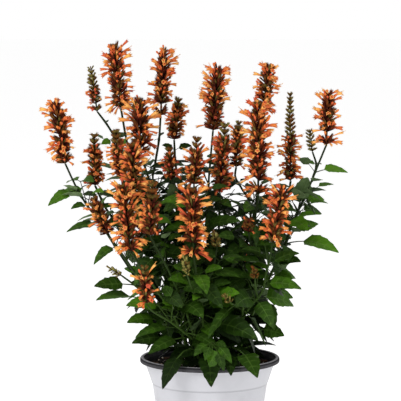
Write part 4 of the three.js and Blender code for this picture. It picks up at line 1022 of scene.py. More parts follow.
def leaf_template(name, teeth, columns):
    """A flat unit leaf: x runs across, -1 to 1 of the half width, y along the blade from 0 to 1,
    z is millimetres. Its petiole lies from y -1 to 0 with x in millimetres. Rows of faces follow
    the side veins, which lean forwards to the teeth. The underside is coarser, with a keel."""
    bm = bmesh.new()
    across_layer = bm.verts.layers.float.new("across")
    along_layer = bm.verts.layers.float.new("along")
    blade_layer = bm.verts.layers.float.new("blade")
    rows = 2 * teeth
    vein_lag, notch_depth, tooth_reach = 0.13, 0.9, 0.5 / rows
    bmesh.ops.create_grid(bm, x_segments=columns, y_segments=rows, size=1)
    for vert in bm.verts:
        across, row = vert.co.x, whole((vert.co.y + 1) / 2 * rows)
        is_edge, is_tooth = abs(across) > 0.9, row % 2 == 1
        share = row / rows - vein_lag * (1 - abs(across)) * math.sin(math.pi * row / rows)
        if is_edge and is_tooth:
            share = min(0.99, share + tooth_reach)
        width = ovate_width(share) if 0 < row < rows else 0
        if is_edge and not is_tooth:
            width *= notch_depth
        vert.co = (across * width, share, 0)
        vert[across_layer] = across if width else 0
        vert[along_layer] = row
        vert[blade_layer] = 1
    weld = 1e-5
    bmesh.ops.remove_doubles(bm, verts=bm.verts[:], dist=weld)
    bmesh.ops.recalc_face_normals(bm, faces=bm.faces[:])
    if bm.faces[0].normal.z < 0:
        bmesh.ops.reverse_faces(bm, faces=bm.faces[:])
    for edge in bm.edges:
        edge.smooth = not edge.is_boundary
    copied = bmesh.ops.duplicate(bm, geom=bm.faces[:])["geom"]
    under = [item for item in copied if isinstance(item, bmesh.types.BMFace)]
    bmesh.ops.reverse_faces(bm, faces=under)
    for face in bm.faces:
        face.material_index = 1
    for face in under:
        face.material_index = 2
    lower = {item for item in copied if isinstance(item, bmesh.types.BMVert)}
    flank_start, flank_end = 0.2, 0.8
    vein_rise, quilt_rise, flat_rise = -0.15, 0.5, 0.1
    for vert in bm.verts:
        is_end = vert[along_layer] in (0, rows)
        inward = 0 if is_end else 1 - abs(vert[across_layer])
        rise = flat_rise
        if flank_start < inward < flank_end:
            rise = vein_rise if vert[along_layer] % 2 == 1 else quilt_rise
        keel = -inward * (0.5 + 0.6 * inward * (1 - vert.co.y))
        vert.co.z = keel if vert in lower else rise * min(1, 4 * inward)
    inner = [item for item in copied if isinstance(item, bmesh.types.BMEdge)
             and all(flank_start < abs(vert[across_layer]) < flank_end for vert in item.verts)]
    bmesh.ops.dissolve_edges(bm, edges=inner, use_verts=True)
    bmesh.ops.remove_doubles(bm, verts=bm.verts[:], dist=weld)
    stalk = bmesh.ops.create_grid(bm, x_segments=3, y_segments=3, size=0.5)["verts"]
    root_radius, thinning, reach = 1.0, 0.32, 1.04
    for vert in stalk:
        turn, share = (vert.co.x + 0.5) % 1, vert.co.y + 0.5
        x, z = on_circle(root_radius - thinning * share, turn)
        vert.co = (x, share * reach - 1, z)
    close_tube(bm, stalk)
    return keep_template(bm, name)


def keep_template(bm, name):
    mesh = bpy.data.meshes.new(name)
    bm.to_mesh(mesh)
    bm.free()
    return mesh


def bend_leaf(bm, template, leaf, tone, draw):
    """Stamps the flat template and lays it along the leaf's own arc, folded at the midrib, with
    edges that ripple and a tip that curls down."""
    verts = stamp(bm, template)
    blade_layer = bm.verts.layers.float["blade"]
    tone_layer = bm.verts.layers.float["tone"]
    full_length, lean_of_waves = 34, 1.3
    wave = (0.010 + 0.022 * draw()) * leaf.blade_length
    waves = 1.5 + 1.5 * draw()
    phase = 2 * math.pi * draw()
    fold = LEAF_FOLD + 0.2 * (draw() - 0.5)
    curl = (0.02 + 0.1 * draw()) * leaf.blade_length
    size = clamp(leaf.blade_length / full_length, 0.45, 1.1)
    for vert in verts:
        x, y, z = vert.co
        if vert[blade_layer] > 0.5:
            place = leaf.blade_share(y)
            width = x * leaf.half_width
            swing = phase + waves * 2 * math.pi * y + lean_of_waves * x
            ripple = wave * x * abs(x) * math.sin(swing)
            rise = abs(width) * math.sin(fold) + ripple - curl * x * x * y + z * size
            width *= math.cos(fold)
        else:
            place = leaf.petiole * (1 + y)
            width, rise = x * size, z * size
        side, up = leaf.frame_at(place)
        point = add(add(leaf.arc_point(place), side, width), up, rise)
        vert.co = Vector(point) * MM
        vert[tone_layer] = tone


def turned_template(name, sides, steps, place, along_of):
    """A closed tube made once and kept in millimetres, with its height share on the points."""
    bm = bmesh.new()
    along_layer = bm.verts.layers.float.new("along")
    made = bmesh.ops.create_grid(bm, x_segments=sides, y_segments=steps, size=0.5)["verts"]
    for vert in made:
        turn, row = (vert.co.x + 0.5) % 1, whole((vert.co.y + 0.5) * steps)
        vert.co = place(turn, row)
        vert[along_layer] = along_of(row, vert.co.z)
    close_tube(bm, made)
    return keep_template(bm, name)


def calyx_template():
    """A ribbed tube with five teeth, its foot at the origin, pointing up +Z, in millimetres."""
    profile = [(0.0, 0.5), (3.2, 1.1), (6.0, 1.25), (4.8, 0.4)]
    teeth_row, sides = 2, 10
    tip_rise, tip_spread, notch_drop = 2.3, 0.2, 0.4
    tone_length = 8.0

    def place(turn, row):
        z, radius = profile[row]
        if row == teeth_row:
            is_tip = whole(turn * sides) % 2 == 0
            z += tip_rise if is_tip else -notch_drop
            radius += tip_spread if is_tip else 0.0
        return (*on_circle(radius, turn), z)

    return turned_template("calyx_template", sides, len(profile) - 1, place,
                           lambda row, z: clamp(z / tone_length))


def corolla_template():
    """A slender tube that widens to two lips: the upper one of two lobes that point forwards, the
    lower one of three that spread. Unit length along +Z, the upper side is +Y, millimetres across.
    It arches over towards the ground."""
    profile = [(0.0, 0.5), (0.36, 0.95), (0.66, 1.7), (0.9, 2.1), (0.86, 1.1), (0.74, 0.5)]
    lip_row, sides = 3, 10
    first_side, lowest = 18, 270
    lip_radius, flatness, drop = 1.8, 0.9, 2.2
    lobe_reach, upper_loss, lower_gain, lower_span = 0.7, 0.3, 0.4, 20
    lobe_rise, upper_rise, notch_depth, notch_drop = 0.05, 0.08, 0.1, 0.06
    throat_shift = 2.5

    def place(turn, row):
        z, radius = profile[row]
        degrees = 360 * turn + first_side
        upper = 0.5 + 0.5 * math.sin(degrees * DEGREE)
        if row == lip_row:
            middle_lobe = 1 if abs(degrees - lowest) < lower_span else 0
            if whole(turn * sides) % 2 == 1:
                radius = lip_radius + (lobe_reach - upper_loss * upper + lower_gain * middle_lobe)
                z += lobe_rise + upper_rise * upper
            else:
                radius = lip_radius - notch_depth
                z -= notch_drop
        angle = degrees * DEGREE
        return (radius * math.cos(angle), radius * math.sin(angle) * flatness - drop * z * z, z)

    return turned_template(
        "corolla_template", sides, len(profile) - 1, place,
        lambda row, z: profile[row][0] if row <= lip_row else row - throat_shift)


def bud_template():
    """A closed corolla, club-shaped. Unit length along +Z, millimetres across."""
    profile = [(0.0, 0.5), (0.45, 0.85), (0.8, 1.5), (0.98, 0.75)]
    drop = 0.6

    def place(turn, row):
        z, radius = profile[row]
        x, y = on_circle(radius, turn)
        return (x, y - drop * z * z, z)

    return turned_template("bud_template", 6, len(profile) - 1, place, lambda row, z: z)


# Builders

def arc_points(centre, radius, start, end, steps):
    """Points of a rounded corner in the pot's profile, from one angle to another in degrees."""
    angles = [(start + (end - start) * step / steps) * DEGREE for step in range(steps + 1)]
    return [(centre[0] + radius * math.cos(a), centre[1] + radius * math.sin(a)) for a in angles]


def build_pot(look):
    """A thin moulding: base, tapered wall, stepped collar, rolled rim and drain holes."""
    rim_bottom = POT_HEIGHT - RIM_DEPTH
    collar_top = (COLLAR_RADIUS + 1.7, rim_bottom - 0.5)
    rim_round = 2.6
    white = [
        (0, 1.2), (18, 1.2), (POT_BASE_RADIUS - 9, 1.2), (POT_BASE_RADIUS - 7.5, 0),
        (POT_BASE_RADIUS - 1.4, 0), (POT_BASE_RADIUS - 0.4, 0.4), (POT_BASE_RADIUS, 1.4),
        (STEP_RADIUS - 0.35, STEP_Z - 2.2), (STEP_RADIUS, STEP_Z - 0.6),
        (STEP_RADIUS + 0.45, STEP_Z - 0.15), (STEP_RADIUS + STEP_OUT, STEP_Z + 0.4),
        (COLLAR_RADIUS, COLLAR_Z), (COLLAR_RADIUS + 0.9, COLLAR_Z + 2.6), collar_top,
    ]
    black = [
        (RIM_RADIUS - 1.6, rim_bottom - 0.1), (RIM_RADIUS - 0.5, rim_bottom + 0.3),
        (RIM_RADIUS, rim_bottom + 1.2), (RIM_RADIUS, POT_HEIGHT - rim_round),
        *arc_points((RIM_RADIUS - rim_round, POT_HEIGHT - rim_round), rim_round, 12, 90, 6),
        *arc_points((RIM_INNER_RADIUS + 1.6, POT_HEIGHT - 1.6), 1.6, 100, 180, 4),
        (COLLAR_RADIUS - 0.2, COLLAR_Z + 3), (COLLAR_RADIUS - POT_WALL, COLLAR_Z),
        (STEP_RADIUS + STEP_OUT - POT_WALL, STEP_Z), (POT_BASE_RADIUS - POT_WALL, POT_FLOOR + 1.2),
        (POT_BASE_RADIUS - POT_WALL - 1.2, POT_FLOOR), (18, POT_FLOOR), (0, POT_FLOOR),
    ]
    bm = bmesh.new()
    finish = bm.verts.layers.float.new("finish")
    profile = []
    for points, value in ((white, 0.0), (black, 1.0)):
        for radius, z in points:
            vert = bm.verts.new((radius * MM, 0, z * MM))
            vert[finish] = value
            profile.append(vert)
    edges = [bm.edges.new(pair) for pair in zip(profile, profile[1:])]
    bmesh.ops.spin(bm, geom=profile + edges, cent=(0, 0, 0), axis=(0, 0, 1), angle=2 * math.pi,
                   steps=look.sides, use_merge=True)
    bmesh.ops.remove_doubles(bm, verts=bm.verts[:], dist=1e-6)
    bmesh.ops.recalc_face_normals(bm, faces=bm.faces[:])
    for face in bm.faces:
        face.material_index = 1 if any(vert[finish] > 0.5 for vert in face.verts) else 0
    finishes = [white_polypropylene(look), black_polypropylene(look)]
    drill_drain_holes(put_piece(bm, "nursery_pot", finishes, "pot"))


def drill_drain_holes(pot):
    """Cuts the drain holes through the floor with a Boolean modifier, applied to the mesh."""
    bm = bmesh.new()
    drill_depth, drill_middle, drill_sides = 6, 1.5, 24
    for hole in range(DRAIN_HOLES):
        angle = (hole + 0.5) * 2 * math.pi / DRAIN_HOLES
        x, y = DRAIN_CIRCLE_RADIUS * math.cos(angle), DRAIN_CIRCLE_RADIUS * math.sin(angle)
        place = Matrix.Translation((x * MM, y * MM, drill_middle * MM))
        bmesh.ops.create_cone(bm, cap_ends=True, segments=drill_sides,
                              radius1=DRAIN_HOLE_RADIUS * MM, radius2=DRAIN_HOLE_RADIUS * MM,
                              depth=drill_depth * MM, matrix=place)
    drills = bpy.data.objects.new("drain_drills", keep_template(bm, "drain_drills"))
    bpy.context.scene.collection.objects.link(drills)
    cut = pot.modifiers.new("drain_holes", "BOOLEAN")
    cut.operation = "DIFFERENCE"
    cut.solver = "EXACT"
    cut.object = drills
    view = bpy.context.evaluated_depsgraph_get()
    finished = bpy.data.meshes.new_from_object(pot.evaluated_get(view))
    pot.modifiers.remove(cut)
    pot.data = finished
    bpy.data.objects.remove(drills)


def soil_height(x, y):
    """Height of the soil's surface in millimetres: lumps, crumbs and a drop towards the edge."""
    lump_size, lump_rise, crumb_size, crumb_rise = 9, 1.5, 3.2, 1.1
    edge_drop, edge_radius = 1.4, 76
    lumps = noise.noise(Vector((x / lump_size, y / lump_size, 3.1))) * lump_rise
    crumbs = noise.noise(Vector((x / crumb_size, y / crumb_size, 8.4))) * crumb_rise
    drop = edge_drop * (math.hypot(x, y) / edge_radius) ** 4
    return SOIL_TOP + SOIL_CRUMB_RISE - drop + lumps + crumbs


def build_soil(look):
    """The potting mix, which fills the pot but for a hair's gap along its wall and floor."""
    inner = POT_WALL + FIT_GAP
    edge = COLLAR_RADIUS - inner - 0.6
    wall = [(0, POT_FLOOR + FIT_GAP), (POT_BASE_RADIUS - inner, POT_FLOOR + FIT_GAP),
            (STEP_RADIUS + STEP_OUT - inner, STEP_Z), (edge, SOIL_TOP - 2)]
    rings = look.surface_rings
    profile = wall + [(edge * (1 - ring / rings), None) for ring in range(rings + 1)]
    steps = len(profile) - 1

    def place(turn, along):
        radius, z = profile[whole(along * steps)]
        x, y = on_circle(radius, turn)
        return (x, y, soil_height(x, y) if z is None else z)

    bm = bmesh.new()
    tube(bm, look.surface_sides, steps, place)
    put_piece(bm, "potting_soil", [peat_mix(look)], "soil")


def scatter_bits(name, count, seed, template, size_range, flat, material):
    """Bits that lie half sunk in the soil, each turned, stretched and toned by seeded draws.
    Their width and thickness are the shares in flat of their length."""
    draw = make_draw(seed)
    bm = bmesh.new()
    tone = bm.verts.layers.float.new("tone")
    spread_radius, lean_range, knock_range, showing = 71, 0.7, 0.35, 0.2
    for _ in range(count):
        turn, radius = draw(), spread_radius * math.sqrt(draw())
        x, y = on_circle(radius, turn)
        size = size_range[0] + (size_range[1] - size_range[0]) * draw() ** 2
        spin = Matrix.Rotation(2 * math.pi * draw(), 4, "Z")
        tip = Matrix.Rotation(lean_range * (draw() - 0.5), 4, "X")
        stretch = Matrix.Diagonal((1, flat[0] * (0.7 + 0.6 * draw()), flat[1], 1))
        lay = Matrix.Translation((x, y, soil_height(x, y) + size * flat[1] * showing))
        matrix = Matrix.Scale(MM, 4) @ lay @ spin @ tip @ stretch @ Matrix.Scale(size, 4)
        shade = draw()
        for vert in stamp(bm, template):
            knock = 1 + knock_range * (draw() - 0.5)
            vert.co = matrix @ (vert.co * knock)
            vert[tone] = shade
    put_piece(bm, name, [material])


def chip_template():
    bm = bmesh.new()
    bmesh.ops.create_cube(bm, size=1)
    bmesh.ops.bevel(bm, geom=bm.edges[:], offset=0.14, affect="EDGES", segments=1, profile=0.5,
                    material=-1)
    return keep_template(bm, "chip")


def grain_template():
    bm = bmesh.new()
    bmesh.ops.create_icosphere(bm, subdivisions=1, radius=0.5)
    return keep_template(bm, "grain")


def sweep_stalk(bm, stalk, tone):
    """The stalk itself: a square bar with rounded ribs, a little swollen at each node."""
    trace = stalk.trace
    sides, ring_step = 8, 5
    rib_out, flank_out = 1.22, 0.98
    swell_share, swell_reach = 0.28, 2.6
    steps = max(4, whole(trace.total / ring_step))
    nodes = [node for node in stalk.nodes if node.leaves]
    marks = [(node.length, node.azimuth) for node in nodes] or [(0, 0)]
    turns = [marks[0]]
    for length, azimuth in marks[1:]:
        previous = turns[-1][1]
        turns.append((length, azimuth + 90 * whole((previous - azimuth) / 90)))

    def azimuth_at(length):
        if length <= turns[0][0]:
            return turns[0][1]
        for (low, first), (high, second) in zip(turns, turns[1:]):
            if length <= high:
                return first + (second - first) * (length - low) / (high - low)
        return turns[-1][1]

    def place(turn, along):
        length = along * trace.total
        direction = stalk.end_direction if along > 0.999 else trace.direction_at(length)
        azimuth = azimuth_at(length) * DEGREE
        level = (math.cos(azimuth), math.sin(azimuth), 0)
        out = unit(add(level, direction, -dot(level, direction)))
        side = cross(direction, out)
        swell = sum(swell_share * math.exp(-((length - node.length) / swell_reach) ** 2)
                    for node in nodes)
        is_rib = whole(turn * sides) % 2 == 1
        radius = stalk.half_width_at(length) * (rib_out if is_rib else flank_out) * (1 + swell)
        return around(trace.point_at(length), out, side, radius, turn)

    set_layers(bm, tube(bm, sides, steps, place), tone=tone, across=0, along=0)


def sweep_shoot(bm, start, end, across, widths):
    """The thin straight stalk of a young shoot, from its root to its tip."""
    def place(turn, along):
        radius = widths[0] + (widths[1] - widths[0]) * along
        return around(between(start, end, along), (1, 0, 0), across, radius, turn)

    set_layers(bm, tube(bm, 5, 3, place), tone=0.0, across=0, along=0)


def grow_shoot(look, bm, bars, node, azimuth, template, draw, owner):
    """A short leafy shoot in a leaf's axil: two pairs of young leaves, the lower one across."""
    pairs, whole_leaf, young_tone = 2, 1.25, 0.12
    rise = 42 + 26 * draw()
    reach = (15 + 20 * draw()) * look.shoot_size
    end = tip_of(node.root, azimuth + 24 * (draw() - 0.5), rise, reach)
    placed = []
    for pair in range(pairs):
        base = between(node.root, end, 0.5 + 0.5 * pair)
        heading = azimuth + (90 if pair == 0 else 0) + 30 * (draw() - 0.5)
        for turn in (0, 180):
            blade = (24 - 6 * pair + 8 * draw()) * look.shoot_size
            slope = -28 + 46 * draw() + 12 * pair
            tip = tip_of(base, heading + turn, slope, blade * whole_leaf)
            roll = roll_outwards(base, heading + turn) + 36 * (draw() - 0.5)
            leaf = Leaf(base, tip, blade, roll)
            if layout.leaf_fits(leaf, owner, clear=look.shoot_clearance, head_clear=-3):
                placed.append(leaf)
    for leaf in placed:
        layout.claim_leaf(leaf)
        bend_leaf(bm, template, leaf, leaf_tone(leaf, draw) + young_tone, draw)
    if placed:
        sweep_shoot(bars, node.root, end, (0, 1, 0), (0.75, 0.5))


def grow_inner_leaves(look, bm, stalk, node, template, draw):
    """Shade leaves on the two faces of a node that the solids leave free, smaller, and darker by
    painted shade.
    """
    least_lean, lean_range, roll_range, shade = -40, 50, 50, 0.1
    tries = (0.85, 0.65), (0, 25), (0, 30, -30)
    size = leaf_size_at(node.root[2], stalk.bare)
    for face in (1, 3):
        azimuth = node.azimuth + 90 * face
        lean = least_lean + lean_range * draw()
        roll = roll_outwards(node.root, azimuth) + roll_range * (draw() - 0.5)
        leaf = layout.first_fit(node.root, azimuth, lean, roll, size, tries, stalk.index,
                                clear=look.inner_clearance, head_clear=-4)
        if leaf:
            bend_leaf(bm, template, leaf, leaf_tone(leaf, draw) - shade, draw)


def grow_front_shoot(bm, bars, template, draw):
    """The young shoot low at the front, whose leaves are the brightest of the plant."""
    for root, tip, blade_length, roll, tone in FRONT_LEAVES:
        leaf = Leaf(root, tip, blade_length, roll)
        layout.claim_leaf(leaf)
        bend_leaf(bm, template, leaf, tone, draw)
    sweep_shoot(bars, *FRONT_SHOOT, (0, 0, 1), (1.0, 0.7))


def leaf_tone(leaf, draw):
    """Bright where a leaf stands out in the light, brightest far out, dark deep in the bush and
    low over the pot, mixed by chance."""
    shaded_radius, far_radius, low_height = 40, 150, 215
    light_fade, far_fade, low_fade = 80, 40, 70
    x, y, z = leaf.tip
    radius = math.hypot(x, y if y < 0 else 0.5 * y)
    in_light = clamp((radius - shaded_radius) / light_fade)
    far_out = clamp((radius - far_radius) / far_fade)
    low = clamp((low_height - z) / low_fade)
    chance = (0.36 + 0.4 * in_light) * (draw() - 0.4)
    least = 0.42 * in_light + 0.3 * far_out - low
    return clamp(max(least, 0.14 + 0.4 * in_light + 0.3 * far_out - 0.34 * low + chance))


def build_stems(look):
    """Every stem with its branches, its leaves and the shoots in their axils, as one piece."""
    materials = [square_stem(look), leaf_upper(look), leaf_underside(look)]
    large = leaf_template("leaf_large_template", 5, 4)
    small = leaf_template("leaf_small_template", 4, 2)
    small_blade = 24
    for stem in layout.stems:
        bm, bars = new_bmesh(), new_bmesh()
        draw = make_draw(STEM_SEED + stem.index)
        family = [stem] + [one for one in layout.branches if one.parent is stem]
        for stalk in family:
            sweep_stalk(bars, stalk, draw())
            for node in stalk.nodes:
                for leaf in node.leaves.values():
                    template = large if leaf.blade_length > small_blade else small
                    bend_leaf(bm, template, leaf, leaf_tone(leaf, draw), draw)
        if stem.name == FRONT_SHOOT_STEM:
            grow_front_shoot(bm, bars, small, draw)
        for stalk in family:
            for node in stalk.nodes:
                if node.root[2] < stalk.bare:
                    grow_inner_leaves(look, bm, stalk, node, large, draw)
            for node in stalk.nodes:
                if node.root[2] < stalk.bare + look.shoot_rise:
                    for face in (0, 2, 1, 3):
                        grow_shoot(look, bm, bars, node, node.azimuth + 90 * face, small, draw,
                                   stalk.index)
        join(bm, bars)
        put_piece(bm, "leafy_" + stem.name, materials, stem.name)


def floret_axes(direction, up):
    """A floret's own unit vectors: to its side, to its top and forwards."""
    forward = Vector(direction).normalized()
    side = Vector(up).cross(forward).normalized()
    return side, forward.cross(side), forward


def floret_matrix(origin, direction, up, width, length, squash=1):
    """The placing of a floret template: +Z along direction, +Y towards up, pressed flatter from
    side to side by squash."""
    side, top, forward = floret_axes(direction, up)
    matrix = Matrix.Identity(4)
    columns = side * width * squash, top * width, forward * length, origin
    for column, vector in enumerate(columns):
        for row in range(3):
            matrix[row][column] = vector[row] * MM
    return matrix


def stamp_floret(bm, template, matrix, tone):
    layer = bm.verts.layers.float["tone"]
    for vert in stamp(bm, template):
        vert.co = matrix @ vert.co
        vert[layer] = tone


def add_stamens(bm, origin, direction, up, length, tone):
    """Two fine stamens that stand out of the mouth under the upper lip, thicker at the anther."""
    side, top, forward = floret_axes(direction, up)
    thread, anther, anther_start = 0.13, 0.3, 0.75
    start = Vector(origin) + forward * length * 0.7 - top * 1.2
    for hand in (-1, 1):
        end = start + forward * (length * 0.45) + side * (hand * 0.9) + top * 0.3

        def place(turn, along):
            x, y = on_circle(1, turn)
            thick = anther if along > anther_start else thread
            return start.lerp(end, along) + (side * x + top * y) * thick

        set_layers(bm, tube(bm, 3, 4, place), tone=tone, along=0.9)


class Whorl:
    """A ring of florets on a head: how high it stands, how full it is, how old its florets are
    and how far they stray from the ring."""

    def __init__(self, look, head, number, whorls, spacing):
        bloom_start, bloom_end = head.bloom
        is_side_shoot = head.carrier.parent is not None
        small_calyx, short_head, first_place, late_bloom = 7, 25, 0.35, 0.8
        is_bud_head = is_side_shoot and head.calyx < small_calyx and head.length < short_head
        self.share = (number + first_place) / whorls
        self.is_spent = self.share < bloom_start
        self.is_young = self.share >= bloom_end
        self.is_lone = head.apart > 0 and number == 0
        tip_size, tip_growth = (0.34, 2.4) if bloom_end > late_bloom else (0.5, 1.2)
        self.taper = min(1, tip_size + tip_growth * (1 - self.share))
        density, stray = 0.75 if is_side_shoot else 1, 1
        self.climb_range, self.swerve_range = 40, 0.8
        self.middle_tone, self.tone_range = 0.3 + 0.3 * head.green, 1.0
        if self.is_spent:
            self.middle_tone, self.tone_range = 0.36, 0.7
        elif self.is_young:
            density, stray = 0.6, 0.2
            self.climb_range, self.swerve_range = 10, 0.2
            self.middle_tone, self.tone_range = 0.55 + 0.4 * head.green, 0.4
        if is_bud_head:
            density, stray = 0.85, 1
            self.climb_range = 60
        crowding = min(1.25, head.calyx / 9)
        self.count = whole(look.florets * (0.5 + 0.5 * self.taper) * crowding * density)
        self.stray = spacing * look.jitter * stray


class Floret:
    """One place in a whorl: where its calyx stands, which way that points and how long it is."""

    def __init__(self, head, whorl, turn, draw):
        sunk_share, foot_out, least_climb, climb_growth = 0.97, 0.8, 30, 26
        self.axis = head.axis
        self.turn = turn
        self.out = add(add((0, 0, 0), head.level, math.cos(turn)), head.across, math.sin(turn))
        self.climb = (least_climb + climb_growth * whorl.share
                      + whorl.climb_range * (draw() - 0.5)) * DEGREE
        swerve = whorl.swerve_range * (draw() - 0.5)
        self.heading = unit(add(self.out, cross(self.axis, self.out), swerve))
        self.direction = self.pointing(self.climb)
        height = head.length * whorl.share * sunk_share + whorl.stray * (draw() - 0.5)
        self.along = clamp(height, 1.0, head.length - 1)
        self.foot = add(add(head.base, self.axis, self.along), self.out, foot_out)
        growth = 0.8 + 0.34 * draw()
        self.calyx_length = head.calyx * whorl.taper * growth / math.cos(self.climb) ** 0.6

    def pointing(self, climb):
        """Its heading, raised towards the head's tip by an angle."""
        return unit(add(add((0, 0, 0), self.heading, math.cos(climb)), self.axis,
                        math.sin(climb)))


def add_calyx(bm, template, whorl, floret, draw):
    template_length = 8.4
    scale = floret.calyx_length / template_length
    width = 0.9 * clamp(scale, 0.5, 1.0)
    matrix = floret_matrix(floret.foot, floret.direction, floret.axis, width, scale)
    tone = clamp(whorl.middle_tone + whorl.tone_range * (draw() - 0.5))
    stamp_floret(bm, template, matrix, tone)


def flower_fullness(look, head, whorl, floret):
    """How readily a floret is in flower: less on a head's bare side and where it is spent."""
    world = math.atan2(floret.out[1], floret.out[0])
    sided = 1 if head.side is None else 0.5 + 0.7 * math.cos(world - head.side * DEGREE)
    return sided * (look.spent_share if whorl.is_spent else 1.5 if whorl.is_lone else 1)


def add_flower(look, flowers, stamens, templates, head, whorl, floret, draw):
    """What stands in the calyx, by chance and by clusters: an open flower, a bud or nothing."""
    small_reach, cluster_mm, cluster_turn, droop, droop_range = 10, 9, 2.2, 22, 24
    calyx_depth, least_length, full_reach, stamen_glow, bud_tone = 0.4, 5, 17, 0.2, 0.5
    fullness = flower_fullness(look, head, whorl, floret)
    cluster = noise.noise(Vector((
        cluster_turn * math.cos(floret.turn), cluster_turn * math.sin(floret.turn),
        floret.along / cluster_mm + 7 * head.index)))
    if head.reach < small_reach:
        fullness, cluster = 0.3 * fullness, 0
    chance = draw() - 0.5 * cluster
    warmth = clamp(head.warmth + 0.5 * cluster + 0.9 * (draw() - 0.5)
                   - (0.2 if whorl.is_spent else 0))
    inside = floret.calyx_length * calyx_depth
    start = add(floret.foot, floret.direction, inside)
    tilt = floret.climb - (droop - droop * whorl.share + droop_range * draw()) * DEGREE
    pose = floret.pointing(tilt)
    reach = head.reach * min(1, whorl.taper + 0.25) * (0.66 + 0.5 * draw())
    length = reach / max(0.75, math.cos(tilt)) ** 0.7 - inside
    top = head.length + look.tip_overhang
    room = top - floret.along - inside * math.sin(floret.climb)
    length = max(least_length, min(length, room / max(0.2, math.sin(tilt))))
    mouth = look.mouth_size * (0.65 + 0.7 * draw()) * clamp(head.reach / full_reach, 0.7, 1.1)
    if chance < look.open_share * fullness:
        up = add(floret.axis, cross(floret.axis, floret.out), 1.2 * (draw() - 0.5))
        squash = 0.55 + 0.5 * draw()
        matrix = floret_matrix(start, pose, up, mouth, length, squash)
        stamp_floret(flowers, templates["corolla"], matrix, warmth)
        if draw() < look.stamen_share:
            add_stamens(stamens, start, pose, floret.axis, length, clamp(warmth + stamen_glow))
    elif chance < (look.open_share + look.bud_share) * fullness:
        bud_length = floret.calyx_length * 0.7 + 3.5 * draw()
        matrix = floret_matrix(start, floret.direction, floret.axis, 1.0, bud_length)
        stamp_floret(flowers, templates["bud"], matrix, warmth * bud_tone)


def build_head(look, head, templates, materials):
    """One flower head: a square rachis, whorls of calyces, and the flowers and buds in them."""
    draw = make_draw(HEAD_SEED + head.index)
    calyces, flowers, rods, stamens = new_bmesh(), new_bmesh(), new_bmesh(), new_bmesh()
    root_width = head.carrier.half_width_at(head.carrier.trace.total)

    def rachis(turn, along):
        centre = add(head.base, head.axis, along * head.length * 0.96)
        return around(centre, head.level, head.across, root_width * (1 - 0.55 * along), turn)

    for vert in tube(rods, 6, 8, rachis):
        for face in vert.link_faces:
            face.material_index = 1
    spacing = look.whorl_spacing * clamp(head.calyx / 10, 0.62, 1.1)
    whorls = max(2, whole(head.length / spacing))
    for number in range(whorls):
        if 0 < number <= head.apart:
            continue
        whorl = Whorl(look, head, number, whorls, spacing)
        twist = 360 * draw()
        for place in range(whorl.count):
            turn = (twist + 360 * (place + 0.5 * draw()) / whorl.count) * DEGREE
            floret = Floret(head, whorl, turn, draw)
            add_calyx(calyces, templates["calyx"], whorl, floret, draw)
            if not whorl.is_young:
                add_flower(look, flowers, stamens, templates, head, whorl, floret, draw)
    join(calyces, rods)
    join(flowers, stamens)
    put_piece(calyces, head.name + "_calyces", materials[:2], head.name)
    if flowers.verts:
        put_piece(flowers, head.name + "_flowers", materials[2:], head.name)
    else:
        flowers.free()


def build_heads(look, foliage):
    """Every flower head, its flowers apart from its calyces and rachis."""
    templates = {"calyx": calyx_template(), "corolla": corolla_template(), "bud": bud_template()}
    materials = [calyx_skin(look), square_stem(foliage), corolla_skin(look)]
    for head in layout.heads:
        build_head(look, head, templates, materials)


# The settings that a user would change

def colour_setting(name, description, code):
    return FloatVectorProperty(name=name, description=description, subtype="COLOR", size=4,
                               min=0, max=1, default=linear(code))


class PotLook(bpy.types.PropertyGroup):
    sides: IntProperty(name="Sides", description="Facets round the pot", default=96, min=24)
    roughness: FloatProperty(name="Roughness", description="Satin finish of the plastic",
                             default=0.4, min=0, max=1, subtype="FACTOR")
    wall_colour: colour_setting("Wall", "Outside of the pot", "#c0c0c5")
    liner_colour: colour_setting("Liner", "Inside of the pot and its rolled rim", "#1b1a1d")
    # The colour of the painted highlight on the crest of the rim and across its outer face.
    crest_highlight_colour: colour_setting("Scuffs", "Handling wear on the crest of the rim", "#a3a1a5")
    # Also the colour of the painted shadow line in the step under the collar.
    dust_and_shadow_colour: colour_setting("Dust", "Soil dust in the plastic's texture", "#a0a0a5")


class SoilLook(bpy.types.PropertyGroup):
    surface_sides: IntProperty(name="Sides", description="Facets round the soil", default=120)
    surface_rings: IntProperty(name="Rings", description="Rings on the soil's top", default=34)
    bark_count: IntProperty(name="Bark chips", description="How many lie on the soil",
                            default=240, min=0)
    perlite_count: IntProperty(name="Perlite", description="How many grains lie on the soil",
                               default=190, min=0)
    soil_colour: colour_setting("Soil", "Damp peat", "#120d0a")
    fibre_colour: colour_setting("Fibre", "Fibre in the peat", "#352215")
    bark_colour: colour_setting("Bark", "Shredded bark", "#6b4c33")
    perlite_colour: colour_setting("Perlite", "Perlite grains", "#d6ccbc")


